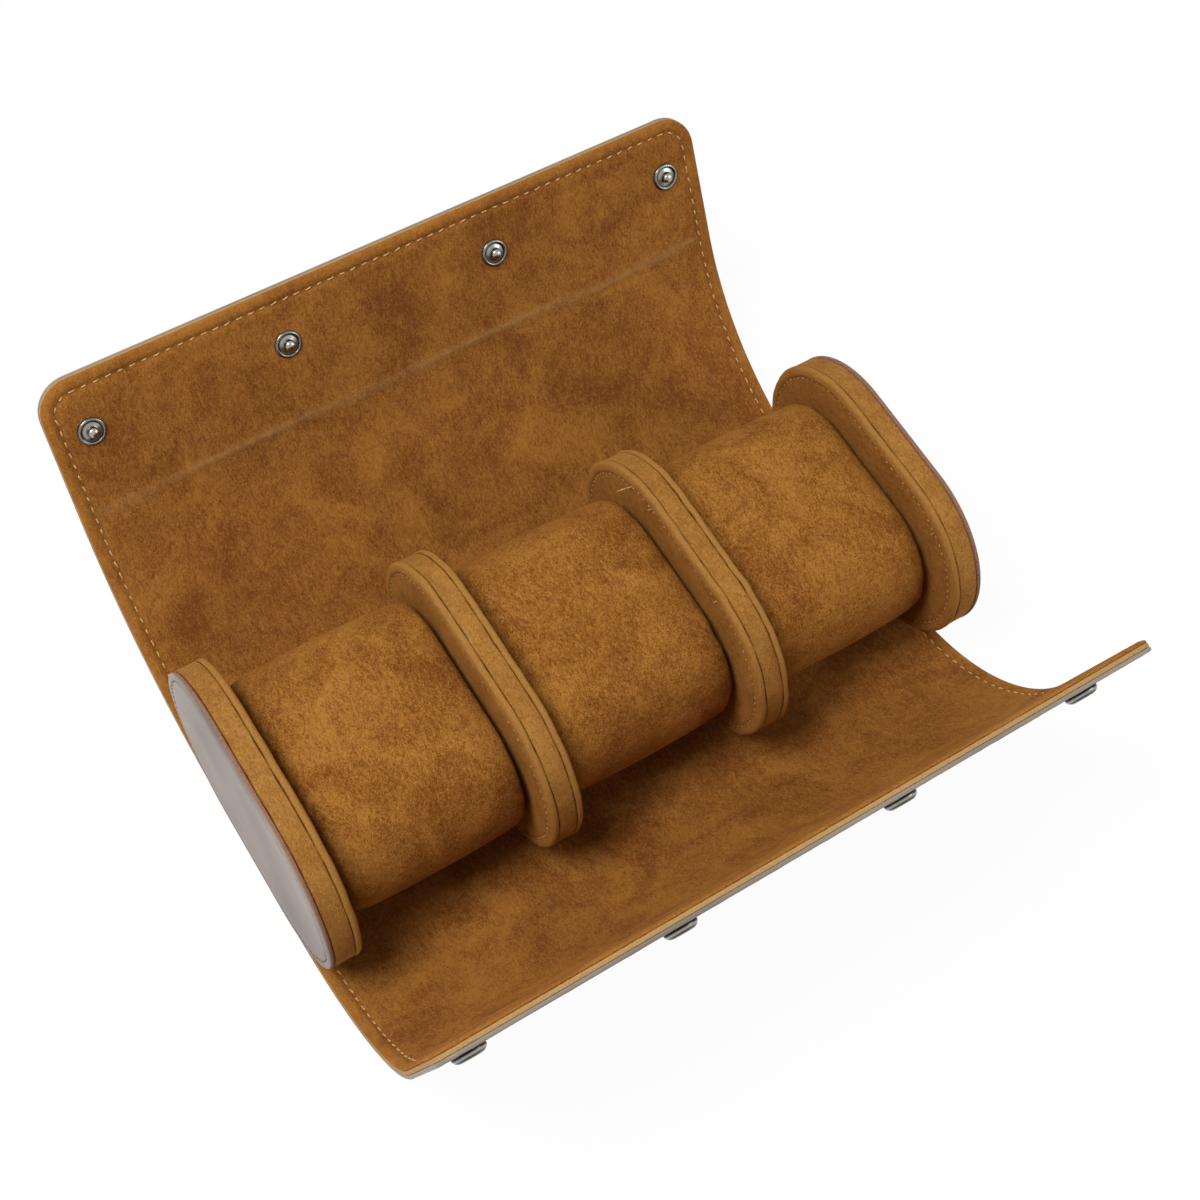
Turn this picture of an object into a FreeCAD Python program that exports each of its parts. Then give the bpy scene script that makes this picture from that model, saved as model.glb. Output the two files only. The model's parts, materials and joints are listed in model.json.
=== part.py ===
import FreeCAD, Part
import math
import os

# Watch travel case: a wrap of leather, board and suede lining that closes round a row of
# stadium-shaped discs with three cushions between them, and snaps shut over the top.
# X runs along the row, +Y points to the flap, -Y to the front panel, +Z up.
# The origin is on the underside of the base, below the middle of the row. Millimetres.

# Layers of the wrap, from the lining's face outwards
lining_thickness = 0.8
board_thickness = 1.2
leather_thickness = 1.2
wrap_thickness = lining_thickness + board_thickness + leather_thickness
lining_depth = lining_thickness
board_depth = lining_thickness + board_thickness

# Length of the row, and the turned-in hem along the wrap's free edges
case_length = 200.0
hem_width = 6.0

# Section of the wrap: flat base, bend and straight panel on each side, as it lies open
back_flat = 23.5
back_bend_radius = 80.4
back_bend_turn = math.radians(57.9)
back_panel_length = 39.5
front_flat = 21.4
front_bend_radius = 58.2
front_bend_turn = math.radians(77.4)
front_panel_length = 46.5

# Where each bend folds, as shares of its length
back_fold_shares = [0.0, 0.28, 0.60, 1.0]
front_fold_shares = [0.0, 0.28, 0.68, 1.0]

# Folding lines: a hair gap on each side, and end faces that lean back from it
fold_gap = 0.1
fold_relief = math.radians(6.0)

# Free corners of the wrap
flap_corner_radius = 9.5
front_corner_radius = 5.0
board_corner_share = 0.35

# Discs of the row
disc_straight = 29.0
disc_radius = 28.5
end_disc_thickness = 8.6
divider_thickness = 9.5
disc_face_thickness = 1.0
gusset_thickness = 1.0

# Cushions: a gap to each disc, a crown along the row and rounded ends
cushion_gap = 0.3
cushion_radius = 19.4
cushion_crown = 0.9
cushion_end_round = 3.6
cushion_cover_thickness = 1.2
cushion_station_shares = [0.0, 0.10, 0.32, 0.60, 1.0]
cushion_round_shares = [0.0, 0.62, 0.94, 1.0, 1.0]
cushion_crown_shares = [0.0, 0.15, 0.45, 0.80, 1.0]

# Press studs: how far in from the row's ends and from the wrap's two free edges
stud_end_inset = 11.0
flap_stud_inset = 16.0
front_stud_inset = 24.84
post_radius = 1.5
post_clearance = 0.05
cap_radius = 5.0
cap_thickness = 0.9
cap_bevel = 0.5
stud_flange_radius = 4.0
stud_flange_thickness = 0.6
stud_neck_radius = 0.9
stud_ball_radius = 1.2
stud_ball_lift = 0.55
socket_radius = 4.5
socket_height = 2.2
socket_floor = 0.4
socket_bore_radius = 2.1
socket_bevel = 0.6
socket_lip = 0.25
post_head_radius = 3.5
post_head_thickness = 0.4
spring_wire_radius = 0.22
spring_gap = 0.05

# Spare length by which a cutter runs past what it cuts
overrun = 2.0

half_length = case_length / 2
board_half_length = half_length - hem_width
disc_height = wrap_thickness + disc_radius

# Three bays of one length lie between the discs; the inner studs stand over the dividers
bay_length = (case_length - 2 * end_disc_thickness - 2 * divider_thickness) / 3
divider_offset = (bay_length + divider_thickness) / 2
stud_end_offset = half_length - stud_end_inset
stud_offsets = [-stud_end_offset, -divider_offset, divider_offset, stud_end_offset]


class Side:
    """One side of the wrap's section, from the middle of the base to the free edge."""

    def __init__(self, sign, flat, radius, turn, panel_length, corner):
        self.sign = sign
        self.flat = flat
        self.radius = radius
        self.turn = turn
        self.panel_length = panel_length
        self.corner = corner

    def vector(self, y, z):
        return FreeCAD.Vector(0, self.sign * y, wrap_thickness + z)

    def bend_point(self, along, depth, shift):
        """Point at a length along the bend, a depth below the lining's face."""
        angle = along / self.radius + shift / (self.radius + depth)
        reach = self.radius + depth
        return self.vector(self.flat + reach * math.sin(angle), self.radius - reach * math.cos(angle))

    def panel_point(self, along, depth):
        """Point at a length along the straight panel, a depth below the lining's face."""
        run = math.cos(self.turn)
        rise = math.sin(self.turn)
        y = self.flat + self.radius * rise + along * run + depth * rise
        z = self.radius * (1 - run) + along * rise - depth * run
        return self.vector(y, z)

    def panel_outward(self):
        """Unit vector that points out of the panel's leather."""
        return FreeCAD.Vector(0, self.sign * math.sin(self.turn), -math.cos(self.turn))


back = Side(1, back_flat, back_bend_radius, back_bend_turn, back_panel_length, flap_corner_radius)
front = Side(-1, front_flat, front_bend_radius, front_bend_turn, front_panel_length, front_corner_radius)


def save(name, shapes):
    """Write one node, made of one solid or of a group of separate solids."""
    shape = shapes[0] if len(shapes) == 1 else Part.makeCompound(shapes)
    shape.exportStep("parts/" + name + ".step")


def line(start, end):
    return Part.LineSegment(start, end).toShape()


def arc(start, middle, end):
    return Part.Arc(start, middle, end).toShape()


def extrude_row(edges, half_width):
    """Extrude a closed section along the row, from one edge of the wrap to the other."""
    face = Part.Face(Part.Wire(edges))
    face.translate(FreeCAD.Vector(-half_width, 0, 0))
    return face.extrude(FreeCAD.Vector(2 * half_width, 0, 0))


def end_shift(depth, extra):
    """How far an end face lies from its folding line at a depth."""
    return fold_gap + depth * math.tan(fold_relief) - extra


def base_strip(top, bottom, half_width, extra=0):
    """Layer of the flat base between the first folding lines of both sides."""
    corners = []
    for side, depth in ((front, top), (back, top), (back, bottom), (front, bottom)):
        corners.append(side.vector(side.flat - end_shift(depth, extra), -depth))
    edges = [line(corners[i - 1], corners[i]) for i in range(len(corners))]
    return extrude_row(edges, half_width)


def bend_strip(side, start, end, top, bottom, half_width, extra=0):
    """Layer of one strip of a bend, between two folding lines."""
    def curve(depth):
        near = side.bend_point(start, depth, end_shift(depth, extra))
        middle = side.bend_point((start + end) / 2, depth, 0)
        far = side.bend_point(end, depth, -end_shift(depth, extra))
        return near, middle, far
    top_near, top_middle, top_far = curve(top)
    low_near, low_middle, low_far = curve(bottom)
    edges = [arc(top_near, top_middle, top_far), line(top_far, low_far)]
    edges += [arc(low_far, low_middle, low_near), line(low_near, top_near)]
    return extrude_row(edges, half_width)


def panel_outline(side, top, bottom, half_width, length, corner, extra):
    """Plate of a panel with its two free corners rounded, past its folding line."""
    def at(x, along):
        point = side.panel_point(along, top - extra)
        point.x = x
        return point
    slant = corner * (1 - math.sqrt(0.5))
    inner = half_width - corner
    start = -overrun
    edges = [line(at(-half_width, start), at(half_width, start))]
    edges += [line(at(half_width, start), at(half_width, length - corner))]
    edges += [arc(at(half_width, length - corner), at(half_width - slant, length - slant), at(inner, length))]
    edges += [line(at(inner, length), at(-inner, length))]
    edges += [arc(at(-inner, length), at(slant - half_width, length - slant), at(-half_width, length - corner))]
    edges += [line(at(-half_width, length - corner), at(-half_width, start))]
    plate = Part.Face(Part.Wire(edges))
    return plate.extrude(side.panel_outward() * (bottom - top + 2 * extra))


def panel_strip(side, top, bottom, inset, corner, extra=0):
    """Layer of a straight panel, drawn in from its three free edges by an inset."""
    length = side.panel_length - inset
    half_width = half_length - inset
    near_top = side.panel_point(end_shift(top, extra), top)
    far_top = side.panel_point(length + overrun, top)
    far_low = side.panel_point(length + overrun, bottom)
    near_low = side.panel_point(end_shift(bottom, extra), bottom)
    edges = [line(near_top, far_top), line(far_top, far_low), line(far_low, near_low), line(near_low, near_top)]
    slab = extrude_row(edges, half_width + overrun)
    return slab.common(panel_outline(side, top, bottom, half_width, length, corner, overrun))


def stud_axis_point(side, x, inset, depth):
    point = side.panel_point(side.panel_length - inset, depth)
    point.x = x
    return point


def drill(shape, side, inset, radius, top, bottom):
    """Cut the row of press-stud holes through a layer of a panel."""
    for x in stud_offsets:
        start = stud_axis_point(side, x, inset, top)
        shape = shape.cut(Part.makeCylinder(radius, bottom - top, start, side.panel_outward()))
    return shape


def build_base():
    lining = base_strip(0, board_depth, half_length)
    pocket = base_strip(lining_depth, board_depth, board_half_length, overrun)
    save("lining_base", [lining.cut(pocket)])
    save("board_base", [base_strip(lining_depth, board_depth, board_half_length)])
    save("leather_base", [base_strip(board_depth, wrap_thickness, half_length)])


def build_bend(side, names, shares):
    bend_length = side.radius * side.turn
    for index, name in enumerate(names):
        start = shares[index] * bend_length
        end = shares[index + 1] * bend_length
        lining = bend_strip(side, start, end, 0, board_depth, half_length)
        pocket = bend_strip(side, start, end, lining_depth, board_depth, board_half_length, overrun)
        foam = bend_strip(side, start, end, lining_depth, board_depth, board_half_length)
        leather = bend_strip(side, start, end, board_depth, wrap_thickness, half_length)
        save("lining_" + name, [lining.cut(pocket)])
        save("foam_" + name, [foam])
        save("leather_" + name, [leather])


def build_panel(side, name, inset, lining_hole):
    """Three layers of a straight panel with its stud holes; the lining may stay whole."""
    hole = post_radius + post_clearance
    board_corner = side.corner * board_corner_share
    lining = panel_strip(side, 0, board_depth, 0, side.corner)
    pocket = panel_strip(side, lining_depth, board_depth, hem_width, board_corner, overrun)
    lining = lining.cut(pocket)
    board = panel_strip(side, lining_depth, board_depth, hem_width, board_corner)
    leather = panel_strip(side, board_depth, wrap_thickness, 0, side.corner)
    if lining_hole:
        lining = drill(lining, side, inset, hole, -overrun, lining_depth)
    else:
        head_hole = post_head_radius + post_clearance
        board = drill(board, side, inset, head_hole, lining_depth, lining_depth + post_head_thickness)
    save("lining_" + name, [lining])
    save("board_" + name, [drill(board, side, inset, hole, lining_depth, board_depth)])
    save("leather_" + name, [drill(leather, side, inset, hole, board_depth, wrap_thickness)])


def stadium(x_start, x_end, radius):
    """Solid of a disc's outline between two places along the row."""
    half = disc_straight / 2

    def at(y, z):
        return FreeCAD.Vector(x_start, y, disc_height + z)
    edges = [line(at(-half, -radius), at(half, -radius))]
    edges += [arc(at(half, -radius), at(half + radius, 0), at(half, radius))]
    edges += [line(at(half, radius), at(-half, radius))]
    edges += [arc(at(-half, radius), at(-half - radius, 0), at(-half, -radius))]
    face = Part.Face(Part.Wire(edges))
    return face.extrude(FreeCAD.Vector(x_end - x_start, 0, 0))


def build_disc(prefix, left, right, left_name, right_name):
    """Two skins, a stiff core and a gusset band round its rim."""
    core_left = left + disc_face_thickness
    core_right = right - disc_face_thickness
    core = stadium(core_left, core_right, disc_radius - gusset_thickness)
    save(prefix + left_name, [stadium(left, core_left, disc_radius)])
    save(prefix + right_name, [stadium(core_right, right, disc_radius)])
    save(prefix + "core", [core])
    save(prefix + "gusset", [stadium(core_left, core_right, disc_radius).cut(core)])


def cushion_section(x, radius):
    """Closed stadium section in lines and quarter arcs."""
    half = disc_straight / 2
    slant = radius * math.sqrt(0.5)

    def at(y, z):
        return FreeCAD.Vector(x, y, disc_height + z)
    edges = [line(at(-half, -radius), at(half, -radius))]
    edges += [arc(at(half, -radius), at(half + slant, -slant), at(half + radius, 0))]
    edges += [arc(at(half + radius, 0), at(half + slant, slant), at(half, radius))]
    edges += [line(at(half, radius), at(-half, radius))]
    edges += [arc(at(-half, radius), at(-half - slant, slant), at(-half - radius, 0))]
    edges += [arc(at(-half - radius, 0), at(-half - slant, -slant), at(-half, -radius))]
    return Part.Wire(edges)


def cushion_body(left, right, inset):
    """Crowned roll with rounded ends, drawn in all round by an inset."""
    start = left + inset
    half_width = (right - left) / 2 - inset
    sections = []
    for station, rounding, crown in zip(cushion_station_shares, cushion_round_shares, cushion_crown_shares):
        radius = cushion_radius - inset - cushion_end_round * (1 - rounding) + cushion_crown * crown
        sections.append((station * half_width, radius))
    wires = [cushion_section(start + offset, radius) for offset, radius in sections]
    for offset, radius in reversed(sections[:-1]):
        wires.append(cushion_section(start + 2 * half_width - offset, radius))
    return Part.makeLoft(wires, True, False)


def build_cushion(prefix, left, right):
    left_end = left + cushion_gap
    right_end = right - cushion_gap
    outer = cushion_body(left_end, right_end, 0)
    inner = cushion_body(left_end, right_end, cushion_cover_thickness)
    save(prefix + "cover", [outer.cut(inner)])
    save(prefix + "foam", [inner])


def build_row():
    """End discs, dividers and the cushions that fill the bays between them."""
    half_divider = divider_thickness / 2
    end_inner = half_length - end_disc_thickness
    build_disc("left_end_", -half_length, -end_inner, "leather_face", "inner_face")
    build_disc("right_end_", end_inner, half_length, "inner_face", "leather_face")
    divider_left = divider_offset - half_divider
    divider_right = divider_offset + half_divider
    build_disc("left_divider_", -divider_right, -divider_left, "left_face", "right_face")
    build_disc("right_divider_", divider_left, divider_right, "left_face", "right_face")
    build_cushion("left_cushion_", -end_inner, -divider_right)
    build_cushion("middle_cushion_", -divider_left, divider_left)
    build_cushion("right_cushion_", divider_right, end_inner)


def turned(side, x, inset, depth, direction, profile):
    """Solid of revolution about a stud's axis; the profile holds (radius, height) points."""
    origin = stud_axis_point(side, x, inset, depth)
    across = FreeCAD.Vector(1, 0, 0)
    points = [origin + across * radius + direction * height for radius, height in profile]
    edges = [line(points[i - 1], points[i]) for i in range(len(points))]
    return Part.Face(Part.Wire(edges)).revolve(origin, direction, 360)


def build_flap_studs():
    """Ball studs on the lining side of the flap and their caps on the leather side."""
    outward = back.panel_outward()
    inward = outward * -1
    ball_height = stud_flange_thickness + stud_ball_lift
    studs = []
    caps = []
    for x in stud_offsets:
        face = stud_axis_point(back, x, flap_stud_inset, 0)
        flange = Part.makeCylinder(stud_flange_radius, stud_flange_thickness, face, inward)
        neck = Part.makeCylinder(stud_neck_radius, ball_height, face, inward)
        ball = Part.makeSphere(stud_ball_radius, face + inward * ball_height)
        below = Part.makeCylinder(stud_flange_radius, stud_ball_radius, face, outward)
        studs.append(flange.fuse([neck, ball.cut(below)]).removeSplitter())
        profile = [(0, -wrap_thickness), (post_radius, -wrap_thickness), (post_radius, 0), (cap_radius, 0)]
        profile += [(cap_radius, cap_thickness - cap_bevel), (cap_radius - cap_bevel, cap_thickness)]
        profile += [(0, cap_thickness)]
        caps.append(turned(back, x, flap_stud_inset, wrap_thickness, outward, profile))
    save("flap_studs", studs)
    save("flap_caps", caps)


def build_front_sockets():
    """Sockets on the leather side of the front panel, their ring springs and their posts."""
    outward = front.panel_outward()
    hole = post_radius + post_clearance
    sockets = []
    springs = []
    posts = []
    for x in stud_offsets:
        mouth = socket_bore_radius - socket_lip
        profile = [(hole, 0), (socket_radius, 0), (socket_radius, socket_height - socket_bevel)]
        profile += [(socket_radius - socket_bevel, socket_height), (mouth, socket_height)]
        profile += [(mouth, socket_height - socket_lip), (socket_bore_radius, socket_height - 2 * socket_lip)]
        profile += [(socket_bore_radius, socket_floor), (hole, socket_floor)]
        sockets.append(turned(front, x, front_stud_inset, wrap_thickness, outward, profile))
        ring_depth = wrap_thickness + (socket_height + socket_floor) / 2
        ring_radius = socket_bore_radius - spring_gap - spring_wire_radius
        centre = stud_axis_point(front, x, front_stud_inset, ring_depth)
        springs.append(Part.makeTorus(ring_radius, spring_wire_radius, centre, outward))
        length = wrap_thickness - lining_depth + socket_floor
        profile = [(0, 0), (post_head_radius, 0), (post_head_radius, post_head_thickness)]
        profile += [(post_radius, post_head_thickness), (post_radius, length), (0, length)]
        posts.append(turned(front, x, front_stud_inset, lining_depth, outward, profile))
    save("front_sockets", sockets)
    save("socket_springs", springs)
    save("front_posts", posts)


def main():
    os.makedirs("parts", exist_ok=True)
    build_base()
    build_bend(back, ["back_lower", "back_middle", "back_upper"], back_fold_shares)
    build_bend(front, ["front_lower", "front_middle", "front_upper"], front_fold_shares)
    build_panel(back, "flap", flap_stud_inset, True)
    build_panel(front, "front_panel", front_stud_inset, False)
    build_row()
    build_flap_studs()
    build_front_sockets()


main()
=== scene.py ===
import json
import math
from functools import partial

import bmesh
import bpy
import numpy as np
from bpy.props import FloatProperty, FloatVectorProperty, PointerProperty
from mathutils import Matrix, Vector


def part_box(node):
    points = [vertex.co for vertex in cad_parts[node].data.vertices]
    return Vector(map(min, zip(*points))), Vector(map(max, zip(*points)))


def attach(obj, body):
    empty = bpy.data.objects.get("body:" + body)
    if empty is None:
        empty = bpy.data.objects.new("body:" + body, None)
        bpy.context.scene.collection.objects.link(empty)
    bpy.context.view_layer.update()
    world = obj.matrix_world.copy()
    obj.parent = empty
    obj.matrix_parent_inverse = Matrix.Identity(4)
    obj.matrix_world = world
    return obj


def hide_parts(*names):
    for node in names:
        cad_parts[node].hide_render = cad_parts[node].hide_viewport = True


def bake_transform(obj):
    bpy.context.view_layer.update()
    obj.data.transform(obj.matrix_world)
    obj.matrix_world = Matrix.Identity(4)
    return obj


bl_info = {
    "name": "Watch travel case",
    "version": (1, 0, 0),
    "blender": (4, 5, 0),
    "location": "View3D > Sidebar > Travel Case",
    "description": "Suede-lined leather roll with end discs, dividers, cushions and press studs",
    "category": "Add Mesh",
}

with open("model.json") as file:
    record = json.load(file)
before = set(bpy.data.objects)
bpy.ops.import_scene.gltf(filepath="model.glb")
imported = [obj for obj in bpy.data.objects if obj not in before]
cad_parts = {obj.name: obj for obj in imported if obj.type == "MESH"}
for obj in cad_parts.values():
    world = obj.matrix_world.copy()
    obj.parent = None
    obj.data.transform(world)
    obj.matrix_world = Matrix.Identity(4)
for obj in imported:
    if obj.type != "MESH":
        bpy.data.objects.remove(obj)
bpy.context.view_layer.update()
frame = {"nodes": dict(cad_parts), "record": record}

MM = 0.001


def length(name, description, millimetres):
    """Property for a length that is given in millimetres."""
    return FloatProperty(
        name=name, description=description, default=millimetres * MM, unit="LENGTH", precision=5)


def turn(name, description, degrees):
    """Property for an angle that is given in degrees."""
    return FloatProperty(
        name=name, description=description, default=math.radians(degrees), unit="ROTATION")


def shares(name, description, values):
    """Property for four places that are shares of a length."""
    return FloatVectorProperty(
        name=name, description=description, default=values, size=4, subtype="NONE")


def linear(hex_colour):
    """Turn an sRGB hex value into linear red, green and blue."""
    channels = np.array([int(hex_colour[i:i + 2], 16) for i in (1, 3, 5)]) / 255
    curve = ((channels + 0.055) / 1.055) ** 2.4
    return tuple(np.where(channels <= 0.04045, channels / 12.92, curve).tolist())


def colour(name, description, hex_colour):
    """Property for a colour that is given as an sRGB hex value."""
    return FloatVectorProperty(
        name=name, description=description, default=linear(hex_colour),
        subtype="COLOR", size=3, min=0, max=1)


class CASE_PG_wrap(bpy.types.PropertyGroup):
    """Sizes of the wrap, as it lies open."""
    back_flat: length("Back flat", "From the middle of the base to the back bend", 23.5)
    back_radius: length("Back bend", "Radius of the lining's face in the back bend", 80.4)
    back_turn: turn("Back turn", "Angle of the back bend", 57.9)
    back_panel: length("Flap", "Straight length of the flap", 39.5)
    back_corner: length("Flap corner", "Corner radius of the flap", 9.5)
    back_shares: shares("Back folds", "Folding lines as shares of the back bend", (0.0, 0.28, 0.60, 1.0))
    front_flat: length("Front flat", "From the middle of the base to the front bend", 21.4)
    front_radius: length("Front bend", "Radius of the lining's face in the front bend", 58.2)
    front_turn: turn("Front turn", "Angle of the front bend", 77.4)
    front_panel: length("Front panel", "Straight length of the front panel", 46.5)
    front_corner: length("Lip corner", "Corner radius of the front panel", 5.0)
    front_shares: shares("Front folds", "Folding lines as shares of the front bend", (0.0, 0.28, 0.68, 1.0))
    fold_reach: length("Fold reach", "How far a fold spreads to each side of its line", 10.8)
    hem_depth: length("Hem depth", "Depth at which lining and leather meet along the edge", 2.0)
    edge_roll: length("Edge roll", "Width over which the lining rolls down to the edge", 1.1)
    roll_depth: length("Roll depth", "Depth that the lining's roll reaches at the edge", 0.6)
    leather_roll: length("Leather roll", "Radius of the leather's rounded edge", 0.5)
    leather_overhang: length("Leather overhang", "How far the leather stands past the lining", 0.12)
    hem_width: length("Hem", "Width over which both sheets are folded in along the edge", 6.0)
    crease_height: length("Crease", "Height of the crease along each stiff panel", 0.4)


class CASE_PG_thread(bpy.types.PropertyGroup):
    """Sizes of the stitching."""
    wrap_inset: length("Wrap seam", "From the wrap's edge to its row of stitches", 3.6)
    leather_inset: length("Leather seam", "From an end disc's outer rim to its row of stitches", 2.1)
    disc_inset: length("Disc seam", "From a disc's rim to its row of stitches", 2.8)
    pitch: length("Pitch", "From one stitch to the next", 3.4)
    disc_pitch: length("Disc pitch", "From one stitch to the next on a disc", 2.5)
    stitch: length("Stitch", "Length of one stitch", 1.9)
    disc_stitch: length("Disc stitch", "Length of one stitch on a disc", 1.0)
    radius: length("Thread", "Radius of the thread", 0.2)


class CASE_PG_row(bpy.types.PropertyGroup):
    """Sizes of the discs and cushions."""
    straight: length("Straight", "Straight part of the stadium outline", 29.0)
    disc_radius: length("Disc radius", "End radius of a disc", 28.5)
    stand_out: length("Stand out", "How far the end discs' leather stands past the wrap's sides", 0.8)
    face_thickness: length("Face", "Thickness of a disc's faces", 1.0)
    leather_reach: length("Leather reach", "From an end disc's outer face to its gusset", 1.5)
    piping: length("Piping", "From a disc's face to the seam on its rim", 2.1)
    rim_round: length("Rim round", "Radius of the rounding between a disc's face and its rim", 1.15)
    cushion_radius: length("Cushion radius", "End radius of a cushion before it is filled", 19.6)
    flange: length("Flange", "How far a disc's rolled rims stand past the band between them", 0.3)
    cushion_gap: length("Cushion gap", "From a cushion's end to the disc beside it", 0.4)
    cushion_round: length("Cushion round", "Radius of a cushion's rounded end", 3.4)
    cushion_cap: length("Cushion swell", "Most that filling may move the cover", 1.6)
    voxel: length("Cushion grid", "Grid of the cover before it is filled", 2.6)


class CASE_PG_snap(bpy.types.PropertyGroup):
    """Sizes of the press studs."""
    end_inset: length("End inset", "From the row's end to the outer studs", 11.0)
    flap_inset: length("Flap inset", "From the flap's edge to its studs", 16.0)
    front_inset: length("Front inset", "From the lip to the sockets", 24.84)
    stud_radius: length("Stud", "Radius of the stud's flange", 3.9)
    stud_height: length("Stud height", "Height of the stud with its ball", 2.35)
    cap_radius: length("Cap", "Radius of the cap on the flap's outside", 5.0)
    cap_height: length("Cap height", "Height of the cap", 1.1)
    socket_radius: length("Socket", "Radius of the socket", 4.5)
    socket_height: length("Socket height", "Height of the socket", 2.2)


class CASE_PG_finish(bpy.types.PropertyGroup):
    """Colours of the finishes."""
    lining: colour("Lining", "Brushed suede of the lining", "#A66F30")
    lining_dark: colour("Lining, dark nap", "Suede of the lining where its nap lies away", "#713E19")
    # The lighter suede below is rubbed nap on edges and creases, and on the lining's turned edge also painted
    # light on its lit side.
    worn: colour("Worn suede", "Suede that is rubbed along creases and turned edges", "#BC9662")
    nickel: colour("Nickel", "Polished plate of the press studs", "#A6A49B")
    # The recessed colour below is tarnish in the studs' recesses, and also painted shade on the balls and the
    # sockets' rolled sides.
    nickel_dark: colour("Nickel, recessed", "Plate of the press studs in their recesses", "#191917")
    board: colour("Board", "Hidden stiffening board", "#8A7A66")
    foam: colour("Foam", "Hidden foam", "#D8CFB8")
    gusset: colour("Gusset", "Suede on the discs' rims", "#AC7B3D")
    gusset_dark: colour("Gusset, dark nap", "Suede on the rims where its nap lies away", "#875824")
    face: colour("Face", "Suede on the discs' faces", "#A06C32")
    face_dark: colour("Face, dark nap", "Suede on the faces where its nap lies away", "#77481D")
    cushion: colour("Cushion", "Suede of the cushions", "#AD7735")
    cushion_dark: colour("Cushion, dark nap", "Suede of the cushions where its nap lies away", "#6C3A11")
    leather: colour("Leather", "Smooth leather of the outside", "#887B6F")
    disc_leather: colour("Disc leather", "Smooth leather of the end discs", "#8F8075")
    disc_edge: colour("Disc edge", "Cut edge of the end discs' leather", "#8A6450")
    thread: colour("Thread", "Waxed thread of the seams", "#D2A86E")
    disc_thread: colour("Disc thread", "Waxed thread on the discs' suede", "#B98C4E")
    dark_thread: colour("Dark thread", "Thread on the end discs' leather", "#554A45")


def sizes(group):
    """The properties of one group, such as wrap or row."""
    return getattr(bpy.context.scene, "case_" + group)


def slope(value, low, high):
    """Smooth step from 0 at low to 1 at high."""
    share = np.clip((value - low) / (high - low), 0, 1)
    return share * share * (3 - 2 * share)


def hump(value, centre, width):
    """Bell curve of height 1 about a centre."""
    return np.exp(-((value - centre) / width) ** 2)


def bump(value, centre, form):
    """Bell curve of a small form: a tuple of its height, its distance from the centre and its width."""
    height, shift, width = form
    return height * hump(value, centre + shift, width)


# A ripple's sine waves: how many, how much shorter or longer than asked for, and what scales their sum.
RIPPLE_WAVES = 7
RIPPLE_STRETCH = (0.7, 1.6)
RIPPLE_SUM = 4


def ripple(a, b, wavelength, seed):
    """Sum of a few sine waves in random directions, between about -1 and 1."""
    draw = np.random.default_rng(seed)
    total = np.zeros(np.broadcast(a, b).shape)
    for _ in range(RIPPLE_WAVES):
        angle = draw.uniform(0, math.tau)
        stretch = draw.uniform(*RIPPLE_STRETCH) * math.tau / wavelength
        phase = draw.uniform(0, math.tau)
        total = total + np.sin((a * math.cos(angle) + b * math.sin(angle)) * stretch + phase)
    return total / RIPPLE_SUM


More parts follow.
